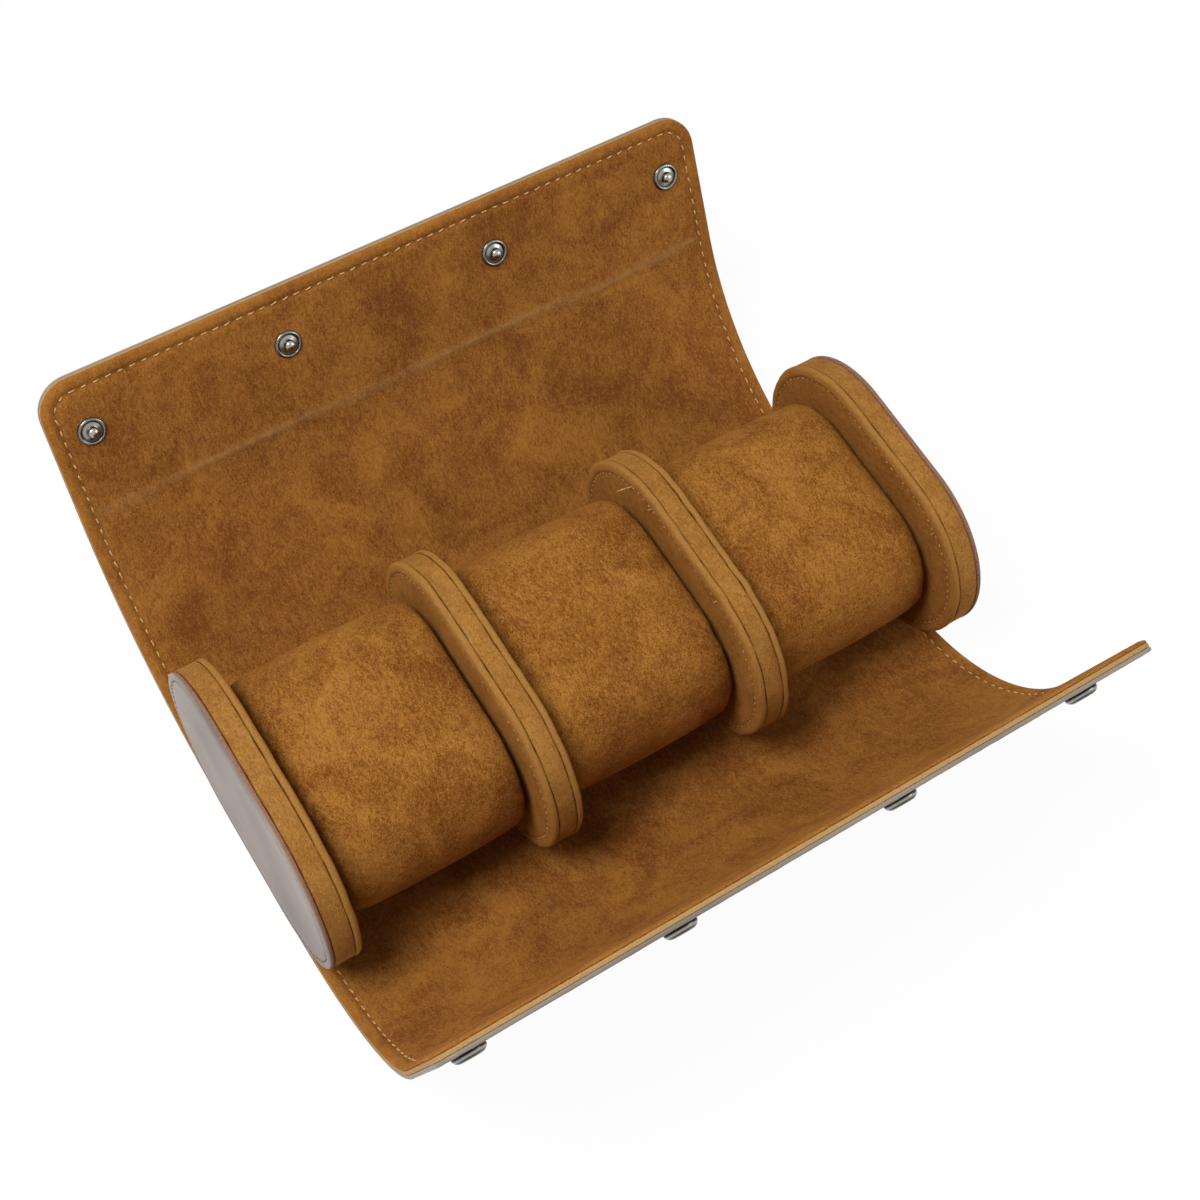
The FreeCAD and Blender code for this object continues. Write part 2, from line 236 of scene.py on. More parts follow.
class Side:
    """One side of the wrap: flat, bend and straight panel, from the middle of the base outwards."""

    def __init__(self, name, sign, bodies):
        wrap = sizes("wrap")
        self.name = name
        self.sign = sign
        self.bodies = bodies
        self.flat, self.radius, self.turn, self.corner = [
            getattr(wrap, f"{name}_{size}") for size in ("flat", "radius", "turn", "corner")]
        self.bend = self.radius * self.turn
        self.total = self.flat + self.bend + getattr(wrap, name + "_panel")
        self.crease = self.flat + self.bend
        self.folds = [self.flat + share * self.bend for share in getattr(wrap, name + "_shares")]
        middles = [(near + far) / 2 for near, far in zip(self.folds, self.folds[1:])]
        self.cuts = [0.0] + middles + [self.total]
        self.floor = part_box("lining_base")[1][2]
        self.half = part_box("lining_base")[1][0]

    def angle(self, along):
        """Slope of the lining: it grows evenly along the bend and stays on the panel."""
        return np.clip((along - self.flat) / self.radius, 0, self.turn)

    def point(self, x, along, depth):
        """Flat, then a circle's sine and cosine, then a straight line, less the depth along the normal."""
        x, along, depth = np.broadcast_arrays(x, along, depth)
        angle = self.angle(along)
        past = np.maximum(along - self.crease, 0)
        y = np.minimum(along, self.flat) + self.radius * np.sin(angle) + past * math.cos(self.turn)
        z = self.radius * (1 - np.cos(angle)) + past * math.sin(self.turn)
        y = y + depth * np.sin(angle)
        z = z - depth * np.cos(angle)
        return np.stack([x, self.sign * y, self.floor + z], -1)

    def tangent(self, along):
        """Direction along the wrap, away from its base."""
        angle = self.angle(along)
        return np.stack([np.zeros_like(angle), self.sign * np.cos(angle), np.sin(angle)], -1)

    def outward(self, along):
        """Direction out of the wrap, from the lining to the leather."""
        angle = self.angle(along)
        return np.stack([np.zeros_like(angle), self.sign * np.sin(angle), -np.cos(angle)], -1)

    def edge_distance(self, x, along, overhang):
        """Distance in from the outline, a rectangle with two rounded corners at its free end."""
        corner = self.corner + overhang
        across = np.abs(x) - (self.half + overhang - corner)
        beyond = along - (self.total + overhang - corner)
        outside = np.hypot(np.maximum(across, 0), np.maximum(beyond, 0))
        return corner - outside - np.minimum(np.maximum(across, beyond), 0)

    def half_width(self, along, overhang):
        """Half width of the outline: constant, then a quarter circle at the free end."""
        corner = self.corner + overhang
        beyond = np.clip(along - (self.total + overhang - corner), 0, corner)
        return self.half + overhang - corner + np.sqrt(corner ** 2 - beyond ** 2)

    def blend(self, piece, index):
        """Bake a piece's placement into its mesh; the fold's reach and line are looked up, but nothing is
        bent.
        """
        reach = sizes("wrap").fold_reach
        fold = np.array(self.folds[index])
        middle = self.point(0, fold, 0)
        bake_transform(piece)


def both_sides():
    """The wrap's back and front, each with the bodies that it bends across."""
    back = Side("back", 1, ["root", "back_lower", "back_middle", "back_upper", "flap"])
    front = Side("front", -1, ["root", "front_lower", "front_middle", "front_upper", "front_panel"])
    return back, front


def round_angles(count):
    """So many even angles, once round."""
    return np.linspace(0, math.tau, count + 1)[:-1]


def grid_quads(indices):
    """Quads of a grid of vertex indices, first along the columns and then along the rows."""
    corners = [indices[:-1, :-1], indices[:-1, 1:], indices[1:, 1:], indices[1:, :-1]]
    return np.stack(corners, -1).reshape(-1, 4)


def ring_quads(rows, count):
    """Quads of rows of points that each close to a ring of so many points."""
    indices = np.arange(rows * count).reshape(rows, count)
    return grid_quads(np.concatenate([indices, indices[:, :1]], 1))


def repeated(quads, copies, points):
    """The same quads for several copies of a form with so many points."""
    return (quads[None] + (np.arange(copies) * points)[:, None, None]).reshape(-1, 4)


def strip_quads(upper, lower):
    """Quads between two lines of vertex indices."""
    return np.stack([upper[:-1], upper[1:], lower[1:], lower[:-1]], -1)


SHARP_ANGLE = math.radians(60)
MERGE_REACH = 0.002 * MM
SLIVER = 0.0005 * MM


def set_field(mesh, name, values):
    """Give each point of a mesh a named number or vector."""
    kind, entry = ("FLOAT", "value") if values.ndim == 1 else ("FLOAT_VECTOR", "vector")
    layer = mesh.attributes.new(name, kind, "POINT")
    layer.data.foreach_set(entry, values.reshape(-1).astype(np.float32))


def point_places(mesh):
    """Where a mesh's points lie, one row each."""
    places = np.empty(len(mesh.vertices) * 3)
    mesh.vertices.foreach_get("co", places)
    return places.reshape(-1, 3)


def make_piece(name, points, quads, material, fields):
    """Mesh object from arrays, with named fields on its points and its doubles merged."""
    mesh = bpy.data.meshes.new(name)
    mesh.from_pydata(points.reshape(-1, 3).tolist(), [], quads.tolist())
    for field, values in fields.items():
        set_field(mesh, field, values)
    mesh.materials.append(material)
    piece = bpy.data.objects.new(name, mesh)
    bpy.context.collection.objects.link(piece)
    shape = bmesh.new()
    shape.from_mesh(mesh)
    bmesh.ops.remove_doubles(shape, verts=shape.verts, dist=MERGE_REACH)
    bmesh.ops.dissolve_degenerate(shape, edges=shape.edges, dist=SLIVER)
    shape.to_mesh(mesh)
    shape.free()
    mesh.polygons.foreach_set("use_smooth", np.ones(len(mesh.polygons), bool))
    mesh.set_sharp_from_angle(angle=SHARP_ANGLE)
    mesh.update()
    return piece


# Steps in from a free edge, close together where the edge rounds and where the stitches press in.
EDGE_STEPS = np.array([0, 0.06, 0.18, 0.36, 0.6, 0.9, 1.3, 1.8, 2.3, 2.7,
                       3.0, 3.3, 3.6, 3.9, 4.3, 4.9, 5.7, 6.8, 8.2]) * MM
GRID_STEP = 1.5 * MM

# Rings of a sheet's wall: the share of its depth, and how far in they lie in millimetres.
LINING_WALL = ((0.1, 0.0), (0.2, 0.16), (0.3, 0.0), (0.6, -0.06), (0.85, 0.0))
LEATHER_WALL = ((0.33, 0.0), (0.67, 0.0))

# Small forms as height, shift and width: the stitches' groove and what swells beside it, then the crease.
GROOVE = (0.34 * MM, 0.0, 0.6 * MM)
PILLOW = (0.22 * MM, 0.1 * MM, 0.9 * MM)
PUFF = (0.2 * MM, 1.9 * MM, 1.4 * MM)
CREASE = (1.0, 0.0, 0.8 * MM)
HOLLOW = (0.45, -2.2 * MM, 1.2 * MM)
OUTER_GROOVE = (0.3 * MM, 0.0, 0.7 * MM)
DENTS = (0.06 * MM, 1.2 * MM, 1.5 * MM)

# Tones in the same way, with a share in place of a height.
EDGE_SEAM_DARK = (1.0, 0.22 * MM, 0.1 * MM)
GROOVE_DARK = (0.32, 0.0, 0.45 * MM)
CREASE_LIGHTENED = (0.4, 0.0, 0.8 * MM)

# Waves of the suede and the leather as height or share, wavelength and seed.
SUEDE_WAVES = ((0.2 * MM, 34 * MM, 5), (0.06 * MM, 9 * MM, 8))
GROOVE_WAVES = (0.3, 7 * MM, 3)
CREASE_WAVES = (0.5 * MM, 60 * MM, 11)
DENT_WAVES = (1.0, 4 * MM, 14)

# Stretches over which something fades in, as a width or from one distance to another.
EDGE_RUBBED_AND_LIT = (0.3 * MM, 0.42 * MM)
CREASE_FADE = 3 * MM
WAVES_INSIDE = (1 * MM, 10 * MM)
WAVES_OFF_BASE = (-4 * MM, 12 * MM)

# The edge's wall lies within this inset, the crease this far past the bend, and glue joins the two sheets.
EDGE_BAND = 0.4 * MM
CREASE_SHIFT = 1.0 * MM
GLUE = 0.05 * MM

# Share of the outer rounding that the leather's inner face follows.
INNER_ROUND = 0.8


def sheet_grid(side, index, overhang):
    """Rows along the wrap and columns across it, close together near the free edges."""
    start = side.cuts[index]
    end = side.cuts[index + 1]
    free = index == len(side.folds) - 1
    if free:
        end = side.total + overhang - EDGE_STEPS[-1]
    rows = np.linspace(start, end, int((end - start) / GRID_STEP) + 2)
    if free:
        rows = np.concatenate([rows, side.total + overhang - EDGE_STEPS[-2::-1]])
    width = side.half_width(rows, overhang)[:, None]
    middle = np.linspace(-1, 1, int(2 * side.half / GRID_STEP) // 2)[None, 1:-1]
    left = -width + EDGE_STEPS[None, :]
    right = width - EDGE_STEPS[None, ::-1]
    columns = np.concatenate([left, middle * (width - EDGE_STEPS[-1]), right], 1)
    return columns, np.broadcast_to(rows[:, None], columns.shape), free


def inward(side, x, along, overhang):
    """Direction in from the outline: the slope of the distance to it."""
    step = 0.01 * MM
    across = side.edge_distance(x + step, along, overhang) - side.edge_distance(x - step, along, overhang)
    ahead = side.edge_distance(x, along + step, overhang) - side.edge_distance(x, along - step, overhang)
    size = np.maximum(np.hypot(across, ahead), step / 10)
    return across / size, ahead / size


def sheet_piece(name, side, index, overhang, upper, lower, wall, material):
    """Closed sheet between an upper and a lower depth, both given over the grid of the wrap.
    The wall between them has a ring for each share of its depth, moved in by a length."""
    x, along, free = sheet_grid(side, index, overhang)
    inset = side.edge_distance(x, along, overhang)
    top_depth = upper(side, x, along, inset)
    low_depth = lower(side, x, along, inset)
    top = np.arange(x.size).reshape(x.shape)
    low = top + x.size
    levels = [(x, along, top_depth), (x, along, low_depth)]
    count = 2 * x.size
    quads = [grid_quads(top), grid_quads(low)[:, ::-1]]
    if free:
        paths = [np.concatenate([top[:, 0], top[-1, 1:], top[-2::-1, -1]])]
        caps = [top[0, ::-1]]
    else:
        paths = [top[:, 0], top[::-1, -1]]
        caps = [top[0, ::-1], top[-1, :]]
    flat_x, flat_along = x.reshape(-1), along.reshape(-1)
    flat_top, flat_low = top_depth.reshape(-1), low_depth.reshape(-1)
    for path in paths:
        previous = path
        in_x, in_along = inward(side, flat_x[path], flat_along[path], overhang)
        for share, moved in wall:
            ring = count + np.arange(len(path))
            depth = flat_top[path] * (1 - share) + flat_low[path] * share
            ring_x = flat_x[path] + in_x * moved * MM
            levels.append((ring_x, flat_along[path] + in_along * moved * MM, depth))
            quads.append(strip_quads(previous, ring))
            previous = ring
            count += len(path)
        quads.append(strip_quads(previous, path + x.size))
    for cap in caps:
        ends = [count + np.arange(len(cap)), count + len(cap) + np.arange(len(cap))]
        levels += [(flat_x[cap], flat_along[cap], depth[cap]) for depth in (flat_top, flat_low)]
        quads.append(strip_quads(ends[0], ends[1]))
        count += 2 * len(cap)
    all_x, all_along, all_depth = [
        np.concatenate([column.reshape(-1) for column in columns]) for columns in zip(*levels)]
    quads = np.concatenate(quads)
    if side.sign < 0:
        quads = quads[:, ::-1]
    all_inset = side.edge_distance(all_x, all_along, overhang)
    fields = {"cloth": np.stack([all_x, side.sign * all_along, all_depth], -1), "inset": all_inset}
    fields.update(worn_fields(side, all_x, all_along, all_depth, all_inset))
    return make_piece(name, side.point(all_x, all_along, all_depth), quads, material, fields)


def worn_fields(side, x, along, depth, inset):
    """Where the suede is drawn lighter: on its turned edge, partly rubbed and partly painted light on its lit
    side, and along its crease; and where its seams are dark.
    """
    roll = sizes("wrap").roll_depth
    seam = sizes("thread").wrap_inset
    at_edge = inset < EDGE_BAND
    # The edge's wall takes the lighter colour: partly rubbed nap, partly painted light where that side
    # catches the lamps.
    wall = slope(depth, roll + EDGE_RUBBED_AND_LIT[0], roll + EDGE_RUBBED_AND_LIT[1]) * at_edge
    # The crease is drawn lighter along its ridge.
    crease = bump(along, crease_line(side, x), CREASE_LIGHTENED) * slope(inset, seam, seam + CREASE_FADE)
    edge_seam = bump(depth, roll, EDGE_SEAM_DARK) * at_edge
    groove = bump(inset, seam, GROOVE_DARK)
    return {"worn": np.maximum(wall, crease), "shade": np.maximum(edge_seam, groove)}


def crease_line(side, x):
    """Where the crease runs: just inside the stiff panel, wavering a little."""
    height, wavelength, seed = CREASE_WAVES
    return side.crease + CREASE_SHIFT + height * ripple(x, 0 * x, wavelength, seed)


def lining_top(side, x, along, inset):
    """Depth of the suede: a quarter round at the edge, a dip under the stitches, a crease and soft waves."""
    wrap = sizes("wrap")
    seam = sizes("thread").wrap_inset
    signed = side.sign * along
    away = np.clip(1 - inset / wrap.edge_roll, 0, 1)
    roll = wrap.roll_depth * (1 - np.sqrt(1 - away ** 2))
    sway, wavelength, seed = GROOVE_WAVES
    groove = bump(inset, seam, GROOVE) * (1 + sway * ripple(x, signed, wavelength, seed))
    swell = bump(inset, seam / 2, PILLOW) + bump(inset, seam, PUFF)
    line = crease_line(side, x)
    ridge = bump(along, line, CREASE) - bump(along, line, HOLLOW)
    crease = wrap.crease_height * ridge * slope(inset, seam, seam + CREASE_FADE)
    waves = sum(height * ripple(x, signed, wavelength, seed) for height, wavelength, seed in SUEDE_WAVES)
    inside = slope(inset, seam + WAVES_INSIDE[0], seam + WAVES_INSIDE[1])
    off_base = slope(along, side.flat + WAVES_OFF_BASE[0], side.flat + WAVES_OFF_BASE[1])
    return roll + groove - swell - crease - waves * inside * off_base


def lining_bottom(side, x, along, inset):
    """The lining's turned-in hem is as deep as the seam; inside it the lining lies on the board."""
    wrap = sizes("wrap")
    skin = side.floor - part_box("board_base")[1][2]
    return skin + (wrap.hem_depth - skin) * (inset < wrap.hem_width) + 0 * x


def leather_round(inset):
    """Quarter round of the leather's edge."""
    radius = sizes("wrap").leather_roll
    return radius * (1 - np.sqrt(1 - np.clip(1 - inset / radius, 0, 1) ** 2))


def leather_top(side, x, along, inset):
    """The leather meets the lining's hem along the edge; inside it the leather lies under the board."""
    wrap = sizes("wrap")
    hem = wrap.hem_depth + GLUE
    skin = side.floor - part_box("leather_base")[1][2]
    return hem + INNER_ROUND * leather_round(inset) + (skin - hem) * (inset >= wrap.hem_width) + 0 * x


def leather_bottom(side, x, along, inset):
    """Outer face: rounded at the edge, drawn in at the stitches, with small dents between the two."""
    seam = sizes("thread").wrap_inset
    sway, wavelength, seed = DENT_WAVES
    dents = sway * ripple(x, side.sign * along, wavelength, seed) * bump(inset, 0, DENTS)
    return side.floor - leather_round(inset) - bump(inset, seam, OUTER_GROOVE) - dents


def stadium_ring(straight, line_steps, arc_steps):
    """Centre and normal of each point of a stadium outline, once round, starting at +Y and turning to +Z."""
    half = straight / 2
    arc = np.linspace(-0.5, 0.5, arc_steps + 1)[:-1] * math.pi
    line = np.linspace(half, -half, line_steps + 1)[:-1]
    centre = np.concatenate([np.full(arc_steps, half), line, np.full(arc_steps, -half), -line])
    up = np.full(line_steps, math.pi / 2)
    angle = np.concatenate([arc, up, arc + math.pi, up + math.pi])
    return centre, np.cos(angle), np.sin(angle)


# The closed wrap comes within 0.4 mm of the discs' radius, so no wavering rim stands out farther.
RIM_LIMIT = 0.38 * MM

# A rim's waver: its calm middle, its wavelengths round the rim, and the one of its rows along the case.
CALM_MIDDLE = 2 * MM
LONG_WAVER = 26 * MM
SHORT_WAVER = 4 * MM
ROW_WAVER = 11 * MM

# Heights of the short and the rows' waves as shares, and how fast the short ones change across a rim.
SHORT_SHARE = 0.35
ROW_SHARE = 0.8
SHORT_DRIFT = 3

# Steps along a stadium's line and round each of its arcs.
FINE_STEPS = (30, 60)
COARSE_STEPS = (22, 44)


def stadium_piece(name, radius, profile, material, steps, wobble=0.0, seed=0):
    """Profile of (x, inset) points carried round a stadium outline; at full inset it closes on a line.
    Near the rim the outline wavers a little, and the rows of the profile waver with it."""
    row = sizes("row")
    profile = np.array(profile)
    centre, across, up = stadium_ring(row.straight, *steps)
    x = profile[:, 0][:, None] + 0 * centre
    inset = np.minimum(profile[:, 1][:, None] + 0 * centre, radius)
    if wobble:
        round_y = centre + radius * across
        round_z = radius * up
        near_rim = slope(radius - inset, CALM_MIDDLE, radius) * (inset < radius - CALM_MIDDLE)
        waver = ripple(round_y, round_z, LONG_WAVER, seed)
        waver = waver + SHORT_SHARE * ripple(round_y, round_z + SHORT_DRIFT * x, SHORT_WAVER, seed + 1)
        inset = np.maximum(inset + wobble * near_rim * waver, -RIM_LIMIT)
        x = x + ROW_SHARE * wobble * near_rim * ripple(round_y, round_z, ROW_WAVER, seed + 2)
    y = centre + across * (radius - inset)
    z = disc_height() + up * (radius - inset)
    points = np.stack([x, y, z], -1)
    fields = {"cloth": points.reshape(-1, 3), "inset": inset.reshape(-1)}
    if profile.shape[1] > 2:
        fields["shade"] = np.repeat(profile[:, 2], len(centre))
        fields["worn"] = np.repeat(profile[:, 3], len(centre))
    return make_piece(name, points, ring_quads(len(profile), len(centre)), material, fields)


def disc_height():
    """Height of the discs' middle line over the floor."""
    low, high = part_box("left_end_core")
    return (low[2] + high[2]) / 2


def mirrored(profile, flip):
    """Profile seen from the other end of the row."""
    if not flip:
        return profile
    return [(-point[0],) + tuple(point[1:]) for point in reversed(profile)]


# Insets of the rows on a disc's face, from its middle to its rim, close together at the stitches.
FACE_INSETS = np.array([28.5, 25, 21, 17, 13, 10, 8, 6.6, 5.4, 4.5,
                        3.9, 3.4, 3.1, 2.8, 2.5, 2.2, 1.9, 1.6, 1.3]) * MM

# A face's groove, what swells beside it and its dark line, then the stretches where it dishes and is rubbed.
FACE_GROOVE = (0.3 * MM, 0.0, 0.5 * MM)
FACE_PUFF = (0.12 * MM, -1.2 * MM, 0.6 * MM)
FACE_GROOVE_DARK = (0.4, 0.0, 0.4 * MM)
FACE_DISH = (4 * MM, 14 * MM)
FACE_RUBBED = (0.9 * MM, 2.6 * MM)
SUEDE_DISH = 0.25 * MM
LEATHER_DISH = 0.35 * MM
SUEDE_WAVER = 0.16 * MM
BAND_WAVER = 0.12 * MM

# How much suede is rubbed: at a face's edge, and on the rim's rounding at its start and how much more later.
FACE_WORN = 0.45
RIM_WORN = (0.4, 0.45)

# The rounding's angles, from the face to the rim, and the two between which its wear grows.
RIM_ANGLES = np.linspace(0.12, math.pi / 2, 7)
RIM_WORN_ANGLES = (0.2, 1.3)

# A rim turning down into its seam: millimetres before the seam, share of the flange, inset, shade and wear.
RIM_SEAM = ((0.5, -0.8, 0.0, 0.0, 0.85), (0.2, -0.3, 0.0, 0.1, 0.8), (0.06, 0.0, 0.2, 0.8, 0.0),
            (0.0, 0.0, 1.2, 1.0, 0.0))

# A band's edge at its seam: millimetres from the seam, inset and shade.
BAND_EDGE = ((0.0, 1.2, 1.0), (0.05, 0.24, 0.85), (0.16, 0.05, 0.2), (0.45, -0.04, 0.0))
BAND_SWELL = 0.06 * MM
BAND_SHARES = (0.25, 0.4, 0.6, 0.75)

# The end disc's leather from its cut edge to its face: millimetres out from the face, inset and shade.
LEATHER_EDGE = ((-1.4, 1.4, 1.0), (-1.35, 0.2, 1.0), (-1.2, -0.12, 1.0), (-0.8, -0.2, 1.0),
                (-0.45, -0.16, 0.9), (-0.25, -0.02, 0.25), (-0.1, 0.18, 0.0), (0.0, 0.5, 0.0),
                (0.04, 0.9, 0.0))
LEATHER_PROUD = 0.04 * MM


def face_profile(x, into, seam, dish):
    """Face from its middle to near its rim: a smooth dish, with bell curves at the stitches.
    Into is the direction into the disc, +1 or -1."""
    points = []
    for inset in FACE_INSETS:
        depth = dish * slope(inset, *FACE_DISH) + bump(inset, seam, FACE_GROOVE)
        depth -= bump(inset, seam, FACE_PUFF)
        worn = FACE_WORN * (1 - slope(inset, *FACE_RUBBED))
        points.append((x + into * depth, inset, bump(inset, seam, FACE_GROOVE_DARK), worn))
    return points


def rim_profile(x, into, radius, reach, flange):
    """Quarter circle from a face onto the rim, along the rim, then down into the seam."""
    points = []
    for angle in RIM_ANGLES:
        out = radius * (1 - math.sin(angle)) - flange * math.sin(angle)
        worn = RIM_WORN[0] + RIM_WORN[1] * slope(angle, *RIM_WORN_ANGLES)
        points.append((x + into * radius * (1 - math.cos(angle)), out, 0.0, worn))
    for before, share, inset, shade, worn in RIM_SEAM:
        points.append((x + into * (reach - before * MM), share * flange + inset * MM, shade, worn))
    return points


def suede_face(name, x, into, piping, material, seed):
    """Suede face of a disc, rolled over its rim up to the seam there."""
    seam = sizes("thread").disc_inset
    row = sizes("row")
    profile = face_profile(x, into, seam, SUEDE_DISH)
    profile += rim_profile(x, into, row.rim_round, piping, row.flange)
    if into < 0:
        profile = profile[::-1]
    return stadium_piece(name, row.disc_radius, profile, material, FINE_STEPS, SUEDE_WAVER, seed)


def band_piece(name, left, right, material, seed):
    """Suede band round a disc's rim, turned in at both seams."""
    radius = sizes("row").disc_radius
    start = [(left + a * MM, b * MM, c, 0.0) for a, b, c in BAND_EDGE]
    middle = [(left + (right - left) * share, -BAND_SWELL, 0.0, 0.0) for share in BAND_SHARES]
    end = [(right - a * MM, b * MM, c, 0.0) for a, b, c in reversed(BAND_EDGE)]
    return stadium_piece(name, radius, start + middle + end, material, FINE_STEPS, BAND_WAVER, seed)


def leather_disc(name, x, flip, material):
    """Outer face of an end disc: cut edge, rounded rim, row of stitches and a smooth middle."""
    seam = sizes("thread").leather_inset
    radius = sizes("row").disc_radius
    profile = [(x + a * MM, b * MM, c, 0.0) for a, b, c in LEATHER_EDGE]
    for place, inset, *_ in reversed(face_profile(x, -1, seam, LEATHER_DISH)):
        profile.append((place + LEATHER_PROUD, inset, 0.0, 0.0))
    return stadium_piece(name, radius, mirrored(profile, flip), material, COARSE_STEPS)


# A stitch's stations along its half length, with its thickness there as a share of the thread's radius.
STITCH_ALONG = np.array([-1, -0.88, -0.6, -0.2, 0.2, 0.6, 0.88, 1])
STITCH_THICK = np.array([0.35, 0.8, 1.0, 1.02, 1.02, 1.0, 0.8, 0.35])
STITCH_SIDES = 6

# Height of a stitch's middle line in thread radii: at its middle, how far it falls, and the fall's power.
STITCH_TOP = 0.95
STITCH_FALL = 1.75
STITCH_POWER = 3.2

# How each stitch differs from the next: its slant and the spread of slant, length and depth.
STITCH_SLANT = math.radians(7)
SLANT_SPREAD = math.radians(4)
LENGTH_SPREAD = 0.08
DEPTH_SPREAD = 0.45

# From one stitch to the next in the space that the thread's material is laid out in.
STITCH_APART = 10 * MM


def stitch_form(stitch, radius):
    """One stitch: circles along a line whose height falls with a power of the distance from its middle.
    The columns are along, across and up."""
    thick = radius * STITCH_THICK
    lift = radius * (STITCH_TOP - STITCH_FALL * np.abs(STITCH_ALONG) ** STITCH_POWER)
    angle = round_angles(STITCH_SIDES)
    along = np.broadcast_to((STITCH_ALONG * stitch / 2)[:, None], (len(thick), len(angle)))
    across = thick[:, None] * np.cos(angle)
    up = lift[:, None] + thick[:, None] * np.sin(angle)
    return np.stack([along, across, up], -1).reshape(-1, 3), ring_quads(len(thick), len(angle))


def stitch_row(name, places, ahead, up, stitch, radius, sunk, material, seed):
    """Copies of one stitch, turned and sunk a little at random, at places with a direction and a normal."""
    draw = np.random.default_rng(seed)
    form, quads = stitch_form(stitch, radius)
    slant = STITCH_SLANT + draw.normal(0, SLANT_SPREAD, len(places))
    size = 1 + draw.normal(0, LENGTH_SPREAD, len(places))
    depth = radius * (sunk + draw.uniform(-DEPTH_SPREAD, DEPTH_SPREAD, len(places)))
    places = places - up * depth[:, None]
    side = np.cross(up, ahead)
    turned = ahead * np.cos(slant)[:, None] + side * np.sin(slant)[:, None]
    across = np.cross(up, turned)
    points = places[:, None, :] + form[None, :, 0:1] * (turned * size[:, None])[:, None, :]
    points = points + form[None, :, 1:2] * across[:, None, :] + form[None, :, 2:3] * up[:, None, :]
    apart = np.repeat(np.arange(len(places)), len(form))[:, None] * STITCH_APART
    local = np.tile(form, (len(places), 1)) + apart
    return make_piece(name, points, repeated(quads, len(places), len(form)), material, {"cloth": local})


def spaced(lengths, pitch):
    """Even places along a line of several parts: the part that each is on and how far along it that is."""
    total = sum(lengths)
    count = round(total / pitch)
    reach = (np.arange(count) + 0.5) * total / count
    starts = np.concatenate([[0], np.cumsum(lengths)[:-1]])
    part = np.searchsorted(starts, reach, side="right") - 1
    return part, reach - starts[part]


def by_part(part, routes):
    """Each place's values, taken from the route of the part that it is on."""
    return [np.choose(part, np.broadcast_arrays(part, *column)[1:]) for column in zip(*routes)]


def wrap_seam(side, inset, pitch):
    """Places and directions of stitches along the outline: leg, corner, edge, corner, leg."""
    leg = side.total - side.corner
    radius = side.corner - inset
    bend = radius * math.pi / 2
    left = side.corner - side.half
    part, gone = spaced([leg, bend, -2 * left, bend, leg], pitch)
    turned = gone / max(radius, MM)
    sine = np.sin(turned)
    cosine = np.cos(turned)
    return by_part(part, [
        (left - radius, gone, 0.0, 1.0),
        (left - radius * cosine, leg + radius * sine, sine, cosine),
        (left + gone, leg + radius, 1.0, 0.0),
        (radius * sine - left, leg + radius * cosine, cosine, -sine),
        (radius - left, leg - gone, 0.0, -1.0)])


def revolve(name, spots, profile, material, teeth, tooth_depth):
    """Profile turned about each spot's axis; its columns are radius, height, tooth and shade.
    The teeth are a cosine wave round the axis that presses the rim in."""
    radius, height, tooth, shade = profile.T
    angle = round_angles(STUD_SIDES)
    wave = 1 - tooth_depth * tooth[:, None] * (0.5 + 0.5 * np.cos(teeth * angle))
    across = np.array([1.0, 0, 0])
    points = []
    for origin, axis in spots:
        ring = across * np.cos(angle)[:, None] + np.cross(axis, across) * np.sin(angle)[:, None]
        rim = (radius[:, None] * wave)[..., None] * ring[None]
        points.append(origin + rim + height[:, None, None] * axis)
    points = np.array(points)
    quads = repeated(ring_quads(len(radius), len(angle)), len(spots), len(radius) * len(angle))
    shades = np.tile(np.repeat(shade, len(angle)), len(spots))
    return make_piece(name, points, quads, material, {"shade": shades})


def add_node(tree, kind, inputs=None, output=0, **settings):
    """Add a node with its settings, give each input a value or a link, and return one of its outputs."""
    node = tree.nodes.new(kind)
    for name, value in settings.items():
        setattr(node, name, value)
    for name, value in (inputs or {}).items():
        if isinstance(value, bpy.types.NodeSocket):
            tree.links.new(value, node.inputs[name])
        else:
            node.inputs[name].default_value = value
    return None if output is None else node.outputs[output]


def start_material(name):
    """A new material without nodes, and the function that adds nodes to it."""
    material = bpy.data.materials.new(name)
    material.use_nodes = True
    material.node_tree.nodes.clear()
    return material, partial(add_node, material.node_tree)


def scaled(tint, factor):
    """A linear colour made lighter or darker, with its alpha."""
    return (*(channel * factor for channel in tint), 1)


# Noise lies mostly between these values, and a map range spreads them out.
NOISE_REACH = {"From Min": 0.3, "From Max": 0.7}


